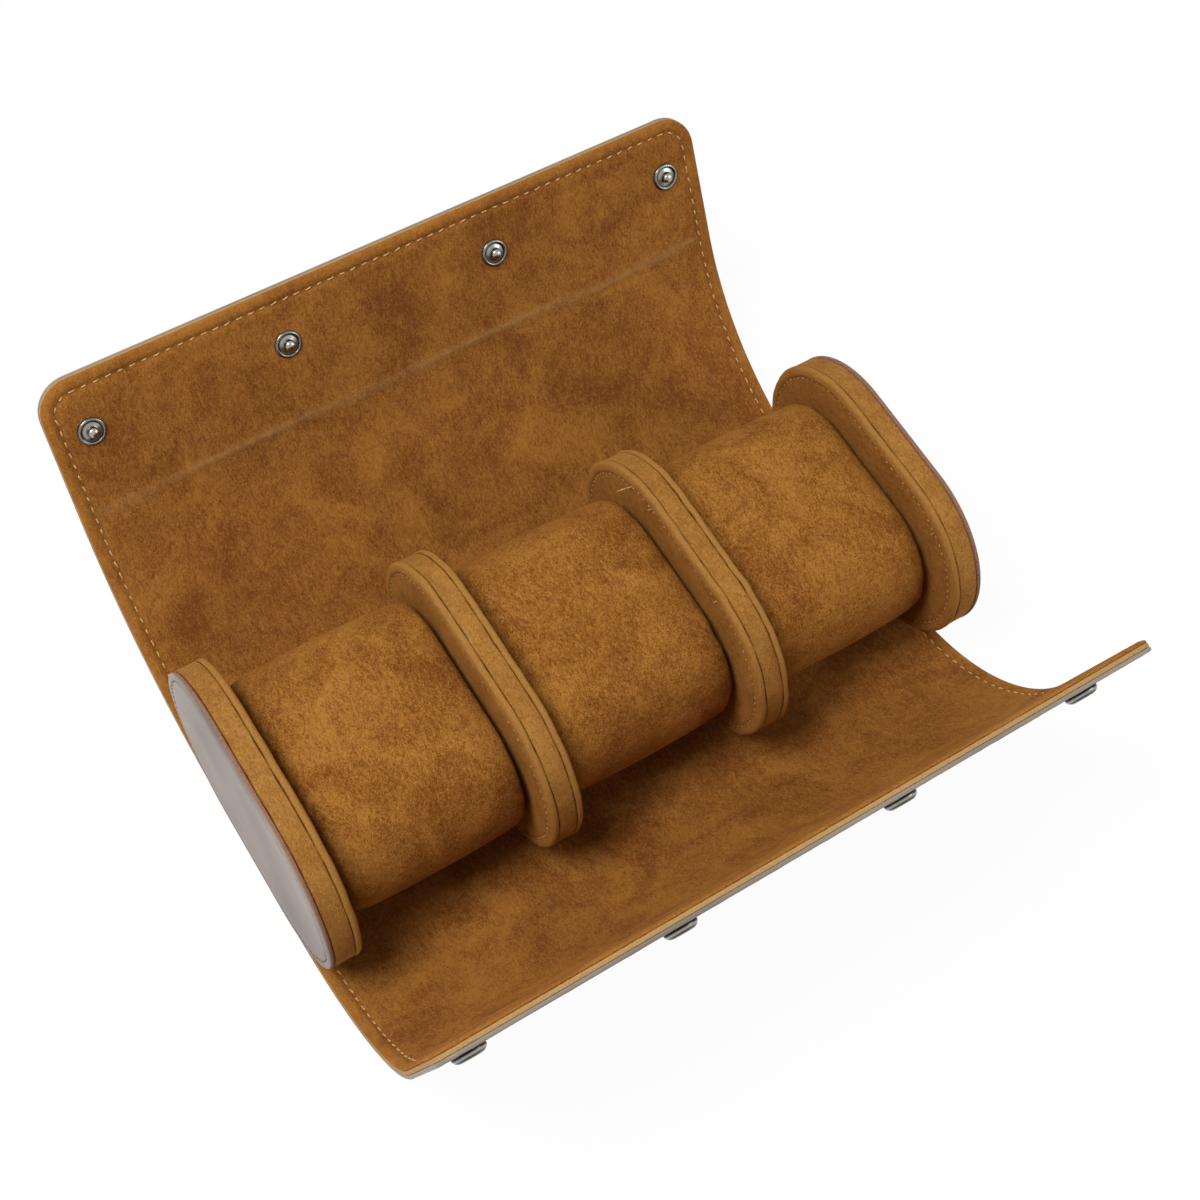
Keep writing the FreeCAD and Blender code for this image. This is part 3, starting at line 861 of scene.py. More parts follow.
def suede(name, light, dark, worn, patch, stroke, grain, edge_tone=0.0):
    """Brushed microsuede: the nap lies in soft patches, short strokes and a fine grain, without any gloss.
    Patch, stroke and grain are each a size and how far they sway the tone from its middle."""
    material, add = start_material(name)
    cloth = add("ShaderNodeAttribute", output="Vector", attribute_name="cloth")
    # The real fibres are about 0.05 mm thick, too fine to show, so the grain is drawn several times coarser.
    tone = 0.46
    layers = []
    for (size, sway), detail, stretch in ((patch, 4, 1.0), (stroke, 3, 2.4), (grain, 2, 1.9)):
        placed = add("ShaderNodeMapping", {
            "Vector": cloth, "Scale": (1 / size, 1 / (size * stretch), 1 / size)})
        layer = add("ShaderNodeTexNoise", {
            "Vector": placed, "Scale": 1.0, "Detail": detail, "Roughness": 0.62, "Distortion": 1.1})
        swing = add("ShaderNodeMapRange", {"Value": layer, **NOISE_REACH, "To Min": -sway, "To Max": sway})
        tone = add("ShaderNodeMath", {0: tone, 1: swing}, operation="ADD")
        layers.append(layer)
    body = add("ShaderNodeMix", {0: tone, 6: scaled(dark, 1), 7: scaled(light, 1)}, 2, data_type="RGBA")
    inset, shade, rubbed = [
        add("ShaderNodeAttribute", output="Fac", attribute_name=name) for name in ("inset", "shade", "worn")]
    # Painted highlight: within about 4 mm of the edge the suede is mixed towards a lighter copy of its
    # colour, as if the rolled hem caught the light.
    hem = add("ShaderNodeMapRange", {
        "Value": inset, "From Min": 0.3 * MM, "From Max": 4.2 * MM, "To Min": edge_tone, "To Max": 0.0})
    body = add("ShaderNodeMix", {0: hem, 6: body, 7: scaled(light, 1.2)}, 2, data_type="RGBA")
    speckle = add("ShaderNodeMapRange", {"Value": layers[2], **NOISE_REACH})
    # Painted light in part: where the worn field is high the suede takes the lighter worn colour, which on
    # the lining's turned edge stands for light on that side as well as rubbed nap.
    bare = add("ShaderNodeMix", {0: speckle, 6: scaled(worn, 0.72), 7: scaled(worn, 1.05)}, 2,
               data_type="RGBA")
    body = add("ShaderNodeMix", {0: rubbed, 6: body, 7: bare}, 2, data_type="RGBA")
    gaps = add("ShaderNodeMapRange", {
        "Value": layers[1], "From Min": 0.45, "From Max": 0.54, "To Min": 0.08, "To Max": 1.0})
    broken = add("ShaderNodeMath", {0: shade, 1: gaps}, operation="MULTIPLY")
    body = add("ShaderNodeMix", {0: broken, 6: body, 7: scaled(dark, 0.25)}, 2, data_type="RGBA")
    height = add("ShaderNodeMath", {0: layers[2], 1: layers[1]}, operation="ADD")
    relief = add("ShaderNodeBump", {"Height": height, "Strength": 0.6, "Distance": 0.35 * MM})
    shader = add("ShaderNodeBsdfPrincipled", {
        "Base Color": body, "Roughness": 0.95, "IOR": 1.45, "Specular IOR Level": 0.1, "Sheen Weight": 0.2,
        "Sheen Roughness": 0.4, "Sheen Tint": scaled(light, 1.6), "Normal": relief})
    add("ShaderNodeOutputMaterial", {"Surface": shader}, None)
    return material


def leather(name, base, edge, pebble, roughness, gloss, depth):
    """Finished cowhide: fine pebbled grain, low gloss and cloudy depth, which is partly a painted reflection,
    with a cut edge of bare fibre.
    """
    material, add = start_material(name)
    cloth = add("ShaderNodeAttribute", output="Vector", attribute_name="cloth")
    cells = add("ShaderNodeTexVoronoi", {"Vector": cloth, "Scale": 1 / pebble}, "Distance",
                feature="SMOOTH_F1")
    soft = add("ShaderNodeTexNoise", {"Vector": cloth, "Scale": 1 / (70 * MM), "Detail": 5.0})
    fine = add("ShaderNodeTexNoise", {"Vector": cloth, "Scale": 1 / (0.5 * MM), "Detail": 3.0})
    # The soft clouds stand partly for the leather's own uneven tone and partly for painted reflections of the
    # room in its gloss.
    cloud_and_reflection = add("ShaderNodeMapRange", {"Value": soft, "From Min": 0.36, "From Max": 0.62})
    body = add("ShaderNodeMix", {
        0: cloud_and_reflection, 6: scaled(base, 1 - depth), 7: scaled(base, 1 + 0.6 * depth)}, 2, data_type="RGBA")
    speckle = add("ShaderNodeMapRange", {"Value": fine, **NOISE_REACH})
    fibre = add("ShaderNodeMix", {0: speckle, 6: scaled(edge, 0.7), 7: scaled(edge, 1.25)}, 2,
                data_type="RGBA")
    shade = add("ShaderNodeAttribute", output="Fac", attribute_name="shade")
    body = add("ShaderNodeMix", {0: shade, 6: body, 7: fibre}, 2, data_type="RGBA")
    height = add("ShaderNodeMath", {0: cells, 1: fine}, operation="ADD")
    relief = add("ShaderNodeBump", {"Height": height, "Strength": 0.14, "Distance": 0.15 * MM})
    matt = add("ShaderNodeMapRange", {"Value": shade, "To Min": roughness, "To Max": 0.9})
    shader = add("ShaderNodeBsdfPrincipled", {
        "Base Color": body, "Roughness": matt, "IOR": 1.5, "Specular IOR Level": gloss, "Normal": relief})
    add("ShaderNodeOutputMaterial", {"Surface": shader}, None)
    return material


def thread(name, base):
    """Waxed polyester thread: a twist across its length and a slight gloss."""
    material, add = start_material(name)
    cloth = add("ShaderNodeAttribute", output="Vector", attribute_name="cloth")
    # The real twist repeats every 0.3 mm, too fine to show, so it is drawn at 0.4 mm.
    twist = add("ShaderNodeTexWave", {"Vector": cloth, "Scale": 1 / (2.6 * MM), "Distortion": 0.6},
                wave_type="BANDS", bands_direction="DIAGONAL")
    body = add("ShaderNodeMix", {0: twist, 6: scaled(base, 0.7), 7: scaled(base, 1.05)}, 2, data_type="RGBA")
    relief = add("ShaderNodeBump", {"Height": twist, "Strength": 0.5, "Distance": 0.1 * MM})
    shader = add("ShaderNodeBsdfPrincipled", {
        "Base Color": body, "Roughness": 0.55, "Specular IOR Level": 0.3, "Normal": relief})
    add("ShaderNodeOutputMaterial", {"Surface": shader}, None)
    return material


def metal(name, base, recess_and_shade, roughness, scratch):
    """Plated brass or steel: polished where it stands out, dark and duller where its shade field is high,
    which is tarnish in its recesses and painted shade on some rounded sides.
    """
    material, add = start_material(name)
    place = add("ShaderNodeTexCoord", output="Object")
    marks = add("ShaderNodeTexNoise", {
        "Vector": place, "Scale": 1 / scratch, "Detail": 4.0, "Distortion": 0.4})
    shade = add("ShaderNodeAttribute", output="Fac", attribute_name="shade")
    uneven = add("ShaderNodeMapRange", {
        "Value": marks, **NOISE_REACH, "To Min": roughness - 0.04, "To Max": roughness + 0.06})
    gloss = add("ShaderNodeMath", {0: shade, 1: 0.15, 2: uneven}, operation="MULTIPLY_ADD")
    wear = add("ShaderNodeMapRange", {"Value": marks, **NOISE_REACH})
    body = add("ShaderNodeMix", {0: wear, 6: scaled(base, 0.85), 7: scaled(base, 1.05)}, 2, data_type="RGBA")
    # Painted shade in part: the shade field pulls the plate towards the dark recess colour, also on rounded
    # sides that are not recesses.
    body = add("ShaderNodeMix", {0: shade, 6: body, 7: scaled(recess_and_shade, 1)}, 2, data_type="RGBA")
    shader = add("ShaderNodeBsdfPrincipled", {"Base Color": body, "Metallic": 1.0, "Roughness": gloss})
    add("ShaderNodeOutputMaterial", {"Surface": shader}, None)
    return material


def plain_stock(name, base, size):
    """Hidden board or foam: matt, with a speckle of its fibres or cells."""
    material, add = start_material(name)
    place = add("ShaderNodeTexCoord", output="Object")
    speckle = add("ShaderNodeTexNoise", {"Vector": place, "Scale": 1 / size, "Detail": 4.0})
    swing = add("ShaderNodeMapRange", {"Value": speckle, **NOISE_REACH})
    body = add("ShaderNodeMix", {0: swing, 6: scaled(base, 0.75), 7: scaled(base, 1.1)}, 2, data_type="RGBA")
    relief = add("ShaderNodeBump", {"Height": speckle, "Strength": 0.4, "Distance": 0.3 * MM})
    shader = add("ShaderNodeBsdfPrincipled", {"Base Color": body, "Roughness": 0.9, "Normal": relief})
    add("ShaderNodeOutputMaterial", {"Surface": shader}, None)
    return material


def made_once(build):
    """Let a material be built the first time that it is asked for, under its function's name."""
    def get():
        name = build.__name__
        return bpy.data.materials.get(name) or build(name, bpy.context.scene.case_finish)
    return get


@made_once
def brushed_microsuede_lining(name, tint):
    """The lining: wide clouds of light and dark nap, with a painted highlight along the edges."""
    return suede(name, tint.lining, tint.lining_dark, tint.worn, patch=(22 * MM, 0.36),
                 stroke=(1.3 * MM, 0.27), grain=(0.34 * MM, 0.5), edge_tone=0.26)


@made_once
def short_nap_microsuede_gusset(name, tint):
    """The discs' rims: paler, with short nap in small clouds."""
    return suede(name, tint.gusset, tint.gusset_dark, tint.worn, patch=(14 * MM, 0.32),
                 stroke=(1.0 * MM, 0.3), grain=(0.34 * MM, 0.6))


@made_once
def short_nap_microsuede_face(name, tint):
    """The discs' faces: short nap in small clouds, rubbed to the rims' colour."""
    return suede(name, tint.face, tint.face_dark, tuple(tint.gusset), patch=(12 * MM, 0.3),
                 stroke=(1.2 * MM, 0.32), grain=(0.34 * MM, 0.55))


@made_once
def grainy_microsuede_cushion(name, tint):
    """The cushions: the strongest contrast, with the finest grain."""
    return suede(name, tint.cushion, tint.cushion_dark, tint.worn, patch=(19 * MM, 0.3),
                 stroke=(0.9 * MM, 0.34), grain=(0.27 * MM, 0.6))


@made_once
def pebbled_cowhide_wrap(name, tint):
    """The outside: even, with a visible pebble."""
    return leather(name, tint.leather, tint.leather, pebble=0.7 * MM, roughness=0.42, gloss=0.35, depth=0.2)


@made_once
def smooth_cowhide_disc(name, tint):
    """The end discs: smoother and cloudier, the clouds partly painted reflection, with a brown cut edge."""
    return leather(name, tint.disc_leather, tint.disc_edge, pebble=0.5 * MM, roughness=0.4,
                   gloss=0.25, depth=0.42)


@made_once
def waxed_polyester_thread_tan(name, tint):
    """Thread that shows light on the lining."""
    return thread(name, tint.thread)


@made_once
def waxed_polyester_thread_suede(name, tint):
    """Thread a little paler than the discs' suede."""
    return thread(name, tint.disc_thread)


@made_once
def waxed_polyester_thread_grey(name, tint):
    """Thread darker than the leather."""
    return thread(name, tint.dark_thread)


@made_once
def black_nickel_plate(name, tint):
    """The press studs: dark plate with polished high spots, with painted shade and painted highlights set by
    their profiles.
    """
    return metal(name, tint.nickel, tint.nickel_dark, roughness=0.2, scratch=0.8 * MM)


@made_once
def drawn_spring_steel(name, tint):
    """The hidden springs: duller and more finely scratched."""
    return metal(name, tint.nickel, tint.nickel_dark, roughness=0.3, scratch=0.5 * MM)


@made_once
def grey_bag_board(name, tint):
    """The hidden board, with coarse fibres."""
    return plain_stock(name, tint.board, 0.8 * MM)


@made_once
def open_cell_foam(name, tint):
    """The hidden foam, with open cells."""
    return plain_stock(name, tint.foam, 0.6 * MM)


def sheet_layer(layer, overhang, upper, lower, wall, material):
    """One layer of the wrap: four stretches on each side."""
    for side in both_sides():
        for index in range(len(side.folds)):
            name = f"{layer}_{side.name}_{index + 1}"
            piece = sheet_piece(name, side, index, overhang, upper, lower, wall, material)
            side.blend(piece, index)
            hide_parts(f"{layer}_{side.bodies[index + 1]}")
            if index == 0:
                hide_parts(layer + "_base")


class CASE_OT_lining(bpy.types.Operator):
    """Make the suede lining, one sheet in eight stretches"""
    bl_idname = "case.lining"
    bl_label = "Lining"

    def execute(self, context):
        sheet_layer("lining", 0, lining_top, lining_bottom, LINING_WALL,
                    brushed_microsuede_lining())
        return {"FINISHED"}


class CASE_OT_leather(bpy.types.Operator):
    """Make the leather outside, one sheet in eight stretches"""
    bl_idname = "case.leather"
    bl_label = "Leather"

    def execute(self, context):
        overhang = sizes("wrap").leather_overhang
        sheet_layer("leather", overhang, leather_top, leather_bottom, LEATHER_WALL,
                    pebbled_cowhide_wrap())
        return {"FINISHED"}


# How deep stitches sink, in thread radii: on the lining, on the leather. Then the first stretch's seed.
LINING_SUNK = 0.2
LEATHER_SUNK = 0.9
STITCHING_SEED = 20


class CASE_OT_stitching(bpy.types.Operator):
    """Sew the wrap along its edges, with stitches on the lining and on the leather"""
    bl_idname = "case.stitching"
    bl_label = "Stitching"

    def execute(self, context):
        sewing = sizes("thread")
        for side in both_sides():
            x, along, run, rise = wrap_seam(side, sewing.wrap_inset, sewing.pitch)
            inset = side.edge_distance(x, along, 0)
            ahead = run[:, None] * np.array([1.0, 0, 0]) + rise[:, None] * side.tangent(along)
            for layer, surface, facing, sunk, material, slot in (
                    ("inner", lining_top, -1, LINING_SUNK, waxed_polyester_thread_tan(), "lining_suede"),
                    ("outer", leather_bottom, 1, LEATHER_SUNK, waxed_polyester_thread_grey(), "leather")):
                places = side.point(x, along, surface(side, x, along, inset))
                up = facing * side.outward(along)
                for index in range(len(side.folds)):
                    chosen = (along >= side.cuts[index]) & (along < side.cuts[index + 1])
                    piece = stitch_row(
                        f"seam_{layer}_{side.name}_{index + 1}", places[chosen], ahead[chosen], up[chosen],
                        sewing.stitch, sewing.radius, sunk, material, STITCHING_SEED + index)
                    side.blend(piece, index)
        return {"FINISHED"}


# The discs' stitches: their depth inside the face's plane, and their thickness and sinking as shares.
SEAM_DEPTH = 0.2 * MM
DISC_THREAD = 0.9
DISC_SUNK = 0.9

# Seeds of the first disc's pieces. Each further disc's seed is higher by one.
BAND_SEED = 30
FACE_SEED = 40
LEATHER_SEAM_SEED = 50
SUEDE_SEAM_SEED = 60


def sew_disc(name, x, facing, inset, material, seed):
    """Row of stitches round a disc's face: arc, upper line, arc, lower line."""
    sewing = sizes("thread")
    row = sizes("row")
    radius = row.disc_radius - inset
    half = row.straight / 2
    arc = math.pi * radius
    up = math.pi / 2
    part, gone = spaced([arc, row.straight, arc, row.straight], sewing.disc_pitch)
    centre, angle = by_part(part, [
        (half, gone / radius - up), (half - gone, up), (-half, gone / radius + up), (gone - half, 3 * up)])
    sine = np.sin(angle)
    cosine = np.cos(angle)
    places = np.stack([np.full_like(angle, x), centre + radius * cosine, disc_height() + radius * sine], -1)
    ahead = np.stack([np.zeros_like(angle), -sine, cosine], -1)
    out = np.tile([facing, 0.0, 0.0], (len(angle), 1))
    piece = stitch_row(
        name, places, ahead, out, sewing.disc_stitch, DISC_THREAD * sewing.radius, DISC_SUNK, material, seed)
    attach(piece, "root")


class CASE_OT_discs(bpy.types.Operator):
    """Make the end discs and dividers with their faces, bands and stitches"""
    bl_idname = "case.discs"
    bl_label = "Discs"

    def execute(self, context):
        row = sizes("row")
        sewing = sizes("thread")
        for number, prefix in enumerate(("left_end", "left_divider", "right_divider", "right_end")):
            low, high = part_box(prefix + "_gusset")
            left = low[0] - row.face_thickness
            right = high[0] + row.face_thickness
            band_left = left + row.piping
            band_right = right - row.piping
            if prefix == "left_end":
                left -= row.stand_out
                band_left = left + row.leather_reach
            if prefix == "right_end":
                right += row.stand_out
                band_right = right - row.leather_reach
            band = band_piece(
                prefix + "_band", band_left, band_right, short_nap_microsuede_gusset(),
                BAND_SEED + number)
            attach(band, "root")
            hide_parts(prefix + "_gusset")
            for end, x, into in (("left", left, 1), ("right", right, -1)):
                seam_x = x + into * SEAM_DEPTH
                if prefix == end + "_end":
                    piece = leather_disc(prefix + "_outer", abs(x), x < 0, smooth_cowhide_disc())
                    node = prefix + "_leather_face"
                    sew_disc(prefix + "_outer_seam", seam_x, -into, sewing.leather_inset,
                             waxed_polyester_thread_grey(), LEATHER_SEAM_SEED + number)
                else:
                    piece = suede_face(f"{prefix}_{end}_side", x, into, row.piping,
                                       short_nap_microsuede_face(), FACE_SEED + number)
                    node = prefix + ("_inner_face" if "end" in prefix else f"_{end}_face")
                    sew_disc(f"{prefix}_{end}_seam", seam_x, -into, sewing.disc_inset,
                             waxed_polyester_thread_suede(), SUEDE_SEAM_SEED + number)
                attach(piece, "root")
                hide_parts(node)
        return {"FINISHED"}


# A loose end's stations and sides, the share by which it thins, and a direction that no end runs along.
END_STATIONS = np.linspace(0, 1, 9)
END_SIDES = 5
END_THINNING = 0.5
ASKEW = (0.3, 0.5, 1.0)

# Loose ends at the discs: the face, the place round it in degrees and the length in millimetres.
DISC_ENDS = (("right_divider_left_face", 67, 4.4), ("right_divider_left_face", 88, 1.2),
             ("right_divider_left_face", 93, 1.0), ("right_end_inner_face", 118, 1.1))

# Their start inside the face, way and sag as shares of their length, and share of the thread's radius.
DISC_END_DEPTH = 0.3 * MM
DISC_END_WAY = np.array([-1.0, 0.1, 0.25])
DISC_END_SAG = np.array([0.0, 0.1, -0.3])
DISC_END_THREAD = 0.8

# Loose ends along the lip, as shares of the wrap's half length.
LIP_ENDS = (0.955, 0.93, 0.965, 0.62, -0.71, -0.93)

# Their sway along the lip, lengths and sag in millimetres, share of the thread's radius, and seed.
LIP_END_SWAY = 0.9
LIP_END_LENGTHS = (0.6, 1.2)
LIP_END_SAG = 0.4
LIP_END_THREAD = 0.35
LIP_SEED = 77


def loose_ends(name, ends, radius, material):
    """Thread ends that hang out: thin tubes along parabolas, each from a start with a direction and a sag."""
    along = END_STATIONS
    angle = round_angles(END_SIDES)
    points = []
    for start, reach, sag in ends:
        path = start + along[:, None] * reach + (along ** 2)[:, None] * sag
        ahead = reach + 2 * along[:, None] * sag
        side = np.cross(ahead, ASKEW)
        side = side / np.linalg.norm(side, axis=1, keepdims=True)
        above = np.cross(side, ahead)
        above = above / np.linalg.norm(above, axis=1, keepdims=True)
        thick = radius * (1 - END_THINNING * along ** 4)
        ring = side[:, None] * np.cos(angle)[:, None] + above[:, None] * np.sin(angle)[:, None]
        tube = path[:, None] + thick[:, None, None] * ring
        points.append(np.concatenate([path[:1, None] + 0 * tube[:1], tube, path[-1:, None] + 0 * tube[:1]]))
    points = np.array(points)
    rows, count = points.shape[1:3]
    quads = repeated(ring_quads(rows, count), len(ends), rows * count)
    return make_piece(name, points, quads, material, {"cloth": points.reshape(-1, 3)})


class CASE_OT_loose_threads(bpy.types.Operator):
    """Leave a few thread ends hanging out of the seams"""
    bl_idname = "case.loose_threads"
    bl_label = "Loose threads"

    def execute(self, context):
        row = sizes("row")
        sewing = sizes("thread")
        radius = row.disc_radius - sewing.disc_inset
        ends = []
        for name, degrees, reach in DISC_ENDS:
            angle = math.radians(degrees)
            centre = math.copysign(row.straight / 2, math.cos(angle))
            start = np.array([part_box(name)[0][0] + DISC_END_DEPTH, centre + radius * math.cos(angle),
                              disc_height() + radius * math.sin(angle)])
            ends.append((start, DISC_END_WAY * reach * MM, DISC_END_SAG * reach * MM))
        piece = loose_ends("loose_threads_row", ends, DISC_END_THREAD * sewing.radius,
                           waxed_polyester_thread_tan())
        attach(piece, "root")
        front = both_sides()[1]
        draw = np.random.default_rng(LIP_SEED)
        ends = []
        for share in LIP_ENDS:
            along = np.array(front.total)
            start = front.point(share * front.half, along, 0.5 * front.floor)
            way = front.tangent(along) + np.array([draw.normal(0, LIP_END_SWAY), 0, 0])
            way = way + draw.uniform(0, 1) * front.outward(along)
            way = way * draw.uniform(*LIP_END_LENGTHS) * MM
            ends.append((start, way, draw.normal(0, LIP_END_SAG, 3) * MM))
        piece = loose_ends("loose_threads_lip", ends, LIP_END_THREAD * sewing.radius,
                           waxed_polyester_thread_tan())
        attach(piece, "front_panel")
        return {"FINISHED"}


# Cloth that swells evenly under a light pressure, without gravity, and hardly stretches.
CUSHION_CLOTH = {
    "quality": 6, "mass": 0.2, "use_pressure": True, "uniform_pressure_force": 4.0,
    "tension_stiffness": 12, "compression_stiffness": 12, "bending_stiffness": 0.6}
FILLING_FRAMES = 20

# A cushion's end face lies this far in and has rings at these shares, and its rounding has these angles.
END_DISH = 0.5 * MM
END_RINGS = (1.0, 0.8, 0.6, 0.45, 0.34)
ROUND_ANGLES = np.linspace(0.1, math.pi / 2, 9)

# A cushion's length bulges this much, with rings at these shares of its half length.
CROWN = 0.8 * MM
CROWN_SHARES = np.linspace(-0.75, 0.75, 9)

# A cushion stays this far inside the ends of its CAD cover.
BAY_SPACE = 0.1 * MM

# A shorter move than this counts as this long, so that nothing is divided by zero.
LEAST_MOVE = 0.001 * MM


def fill_cushion(piece):
    """Swell the cover as cloth under even pressure, and keep the swell small."""
    row = sizes("row")
    scene = bpy.context.scene
    bpy.context.view_layer.objects.active = piece
    remesh = piece.modifiers.new("grid", "REMESH")
    remesh.mode = "VOXEL"
    remesh.voxel_size = row.voxel
    bpy.ops.object.modifier_apply(modifier=remesh.name)
    before = point_places(piece.data)
    cloth = piece.modifiers.new("filling", "CLOTH")
    for setting, value in CUSHION_CLOTH.items():
        setattr(cloth.settings, setting, value)
    cloth.settings.effector_weights.gravity = 0.0
    for step in range(1, FILLING_FRAMES + 1):
        scene.frame_set(step)
    graph = bpy.context.evaluated_depsgraph_get()
    move = point_places(piece.evaluated_get(graph).to_mesh()) - before
    piece.evaluated_get(graph).to_mesh_clear()
    piece.modifiers.remove(cloth)
    scene.frame_set(1)
    reach = np.linalg.norm(move, axis=1, keepdims=True)
    most = row.cushion_cap
    move = move * (most * np.tanh(reach / most) / np.maximum(reach, LEAST_MOVE))
    piece.data.vertices.foreach_set("co", (before + move).reshape(-1))
    piece.data.update()


def cushion_shape(name, left, right, material):
    """Stadium roll: end face, quarter circle, a parabola's slight crown, quarter circle, end face."""
    row = sizes("row")
    half = (right - left) / 2
    shell = [(END_DISH, share * row.cushion_radius) for share in END_RINGS]
    for angle in ROUND_ANGLES:
        shell.append((row.cushion_round * (1 - math.cos(angle)), row.cushion_round * (1 - math.sin(angle))))
    profile = [(left + depth, inset) for depth, inset in shell]
    for share in CROWN_SHARES:
        profile.append(((left + right) / 2 + share * half, -CROWN * (1 - share ** 2)))
    profile += [(right - depth, inset) for depth, inset in reversed(shell)]
    return stadium_piece(name, row.cushion_radius, profile, material, COARSE_STEPS)


class CASE_OT_cushions(bpy.types.Operator):
    """Make the three cushions and fill their covers"""
    bl_idname = "case.cushions"
    bl_label = "Cushions"

    def execute(self, context):
        gap = sizes("row").cushion_gap
        for name in ("left_cushion", "middle_cushion", "right_cushion"):
            low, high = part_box(name + "_cover")
            cover = cushion_shape(name, low[0] + gap, high[0] - gap, grainy_microsuede_cushion())
            fill_cushion(cover)
            smooth = cover.modifiers.new("smooth", "SUBSURF")
            smooth.levels = 1
            smooth.render_levels = 1
            context.view_layer.objects.active = cover
            bpy.ops.object.modifier_apply(modifier=smooth.name)
            keep_in_bay(cover, low[0] + BAY_SPACE, high[0] - BAY_SPACE)
            cover.data.polygons.foreach_set("use_smooth", np.ones(len(cover.data.polygons), bool))
            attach(cover, name)
            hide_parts(name + "_cover", name + "_foam")
        return {"FINISHED"}


def keep_in_bay(piece, left, right):
    """Flatten what would touch the discs and give the mesh its fields for the suede."""
    mesh = piece.data
    points = point_places(mesh)
    points[:, 0] = np.clip(points[:, 0], left, right)
    mesh.vertices.foreach_set("co", points.reshape(-1))
    for name in ("cloth", "inset", "shade"):
        if name in mesh.attributes:
            mesh.attributes.remove(mesh.attributes[name])
    set_field(mesh, "cloth", points)
    set_field(mesh, "inset", np.ones(len(points)))
    mesh.update()


# Profiles of the press studs: share of the radius, share of the height, share of the teeth, darkness. The
# darkness is tarnish in the grooves and round the neck, and painted shade on the ball's lower half.
STUD = (
    (0.97, -0.13, 0, 0.95), (1, 0.02, 0, 0.95), (1, 0.12, 0, 0.85), (0.96, 0.24, 1, 0.55),
    (0.88, 0.31, 1, 0.35), (0.8, 0.28, 0.6, 0.35), (0.75, 0.16, 0, 0.85), (0.7, 0.07, 0, 0.95),
    (0.64, 0.09, 0, 0.4), (0.54, 0.14, 0, 0.15), (0.44, 0.17, 0, 0.3), (0.35, 0.23, 0, 0.9),
    (0.32, 0.32, 0, 0.9), (0.34, 0.42, 0, 0.75), (0.37, 0.53, 0, 0.45), (0.38, 0.63, 0, 0.25),
    (0.35, 0.77, 0, 0.1), (0.28, 0.88, 0, 0.05), (0.16, 0.97, 0, 0), (0, 1, 0, 0))
CAP = (
    (0.9, -0.09, 0, 0.95), (1, 0.05, 0, 0.95), (1, 0.2, 0, 0.8), (0.97, 0.36, 0, 0.7),
    (0.88, 0.56, 0, 0.7), (0.7, 0.76, 0, 0.7), (0.45, 0.91, 0, 0.7), (0.2, 0.98, 0, 0.7), (0, 1, 0, 0.7))
# The socket's darkness paints shade on its rolled side, broken by a painted highlight streak at about half
# its height.
SOCKET = (
    (0.9, -0.05, 0, 1), (0.97, 0.08, 0, 1), (1, 0.25, 0, 1), (0.995, 0.4, 0, 0.9),
    (0.975, 0.52, 0, 0.15), (0.94, 0.64, 0.2, 0.1), (0.89, 0.74, 0.5, 0.85), (0.82, 0.84, 0.6, 0.95),
    (0.74, 0.93, 0.4, 0.6), (0.65, 1, 0, 0.35), (0.56, 0.97, 0, 0.45), (0.5, 0.86, 0, 0.7),
    (0.44, 0.84, 0, 0.4), (0.41, 0.72, 0, 0.8), (0.45, 0.6, 0, 1), (0.46, 0.3, 0, 1),
    (0.35, 0.2, 0, 1), (0.3, 0.19, 0, 1), (0, 0.18, 0, 1))

# Depth of the teeth as a share of the radius, and the sides of every stud, cap and socket.
TOOTH_DEPTH = 0.06
STUD_SIDES = 72


class CASE_OT_snaps(bpy.types.Operator):
    """Make the press studs: studs and caps on the flap, sockets on the front panel"""
    bl_idname = "case.snaps"
    bl_label = "Press studs"

    def execute(self, context):
        snap = sizes("snap")
        back, front = both_sides()
        low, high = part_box("right_divider_core")
        inner = (low[0] + high[0]) / 2
        outer = back.half - snap.end_inset
        stud_size = (snap.stud_radius, snap.stud_height, 1, 1)
        cap_size = (snap.cap_radius, snap.cap_height, 1, 1)
        socket_size = (snap.socket_radius, snap.socket_height, 1, 1)
        for name, node, side, inset, depth, facing, profile, size, teeth in (
                ("ball_studs", "flap_studs", back, snap.flap_inset, 0.0, -1, STUD, stud_size, 36),
                ("stud_caps", "flap_caps", back, snap.flap_inset, back.floor, 1, CAP, cap_size, 0),
                ("stud_sockets", "front_sockets", front, snap.front_inset, front.floor, 1,
                 SOCKET, socket_size, 30)):
            along = np.array(side.total - inset)
            axis = facing * side.outward(along)
            spots = [(side.point(x, along, depth), axis) for x in (-outer, -inner, inner, outer)]
            piece = revolve(name, spots, np.array(profile) * size, black_nickel_plate(), teeth, TOOTH_DEPTH)
            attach(piece, side.bodies[-1])
            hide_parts(node)
        return {"FINISHED"}


class CASE_OT_inside(bpy.types.Operator):
    """Give the hidden boards, foams, posts and springs their materials"""
    bl_idname = "case.inside"
    bl_label = "Hidden pieces"

    def execute(self, context):
        finishes = {"board": grey_bag_board(), "padding": open_cell_foam(),
                    "gunmetal": black_nickel_plate(), "spring_steel": drawn_spring_steel()}
        for part in frame["record"]["subparts"]:
            finish = finishes.get(part["material_slot"])
            node = frame["nodes"][part["node"]]
            if finish and not node.hide_render:
                for slot in node.material_slots:
                    slot.material = finish
        return {"FINISHED"}


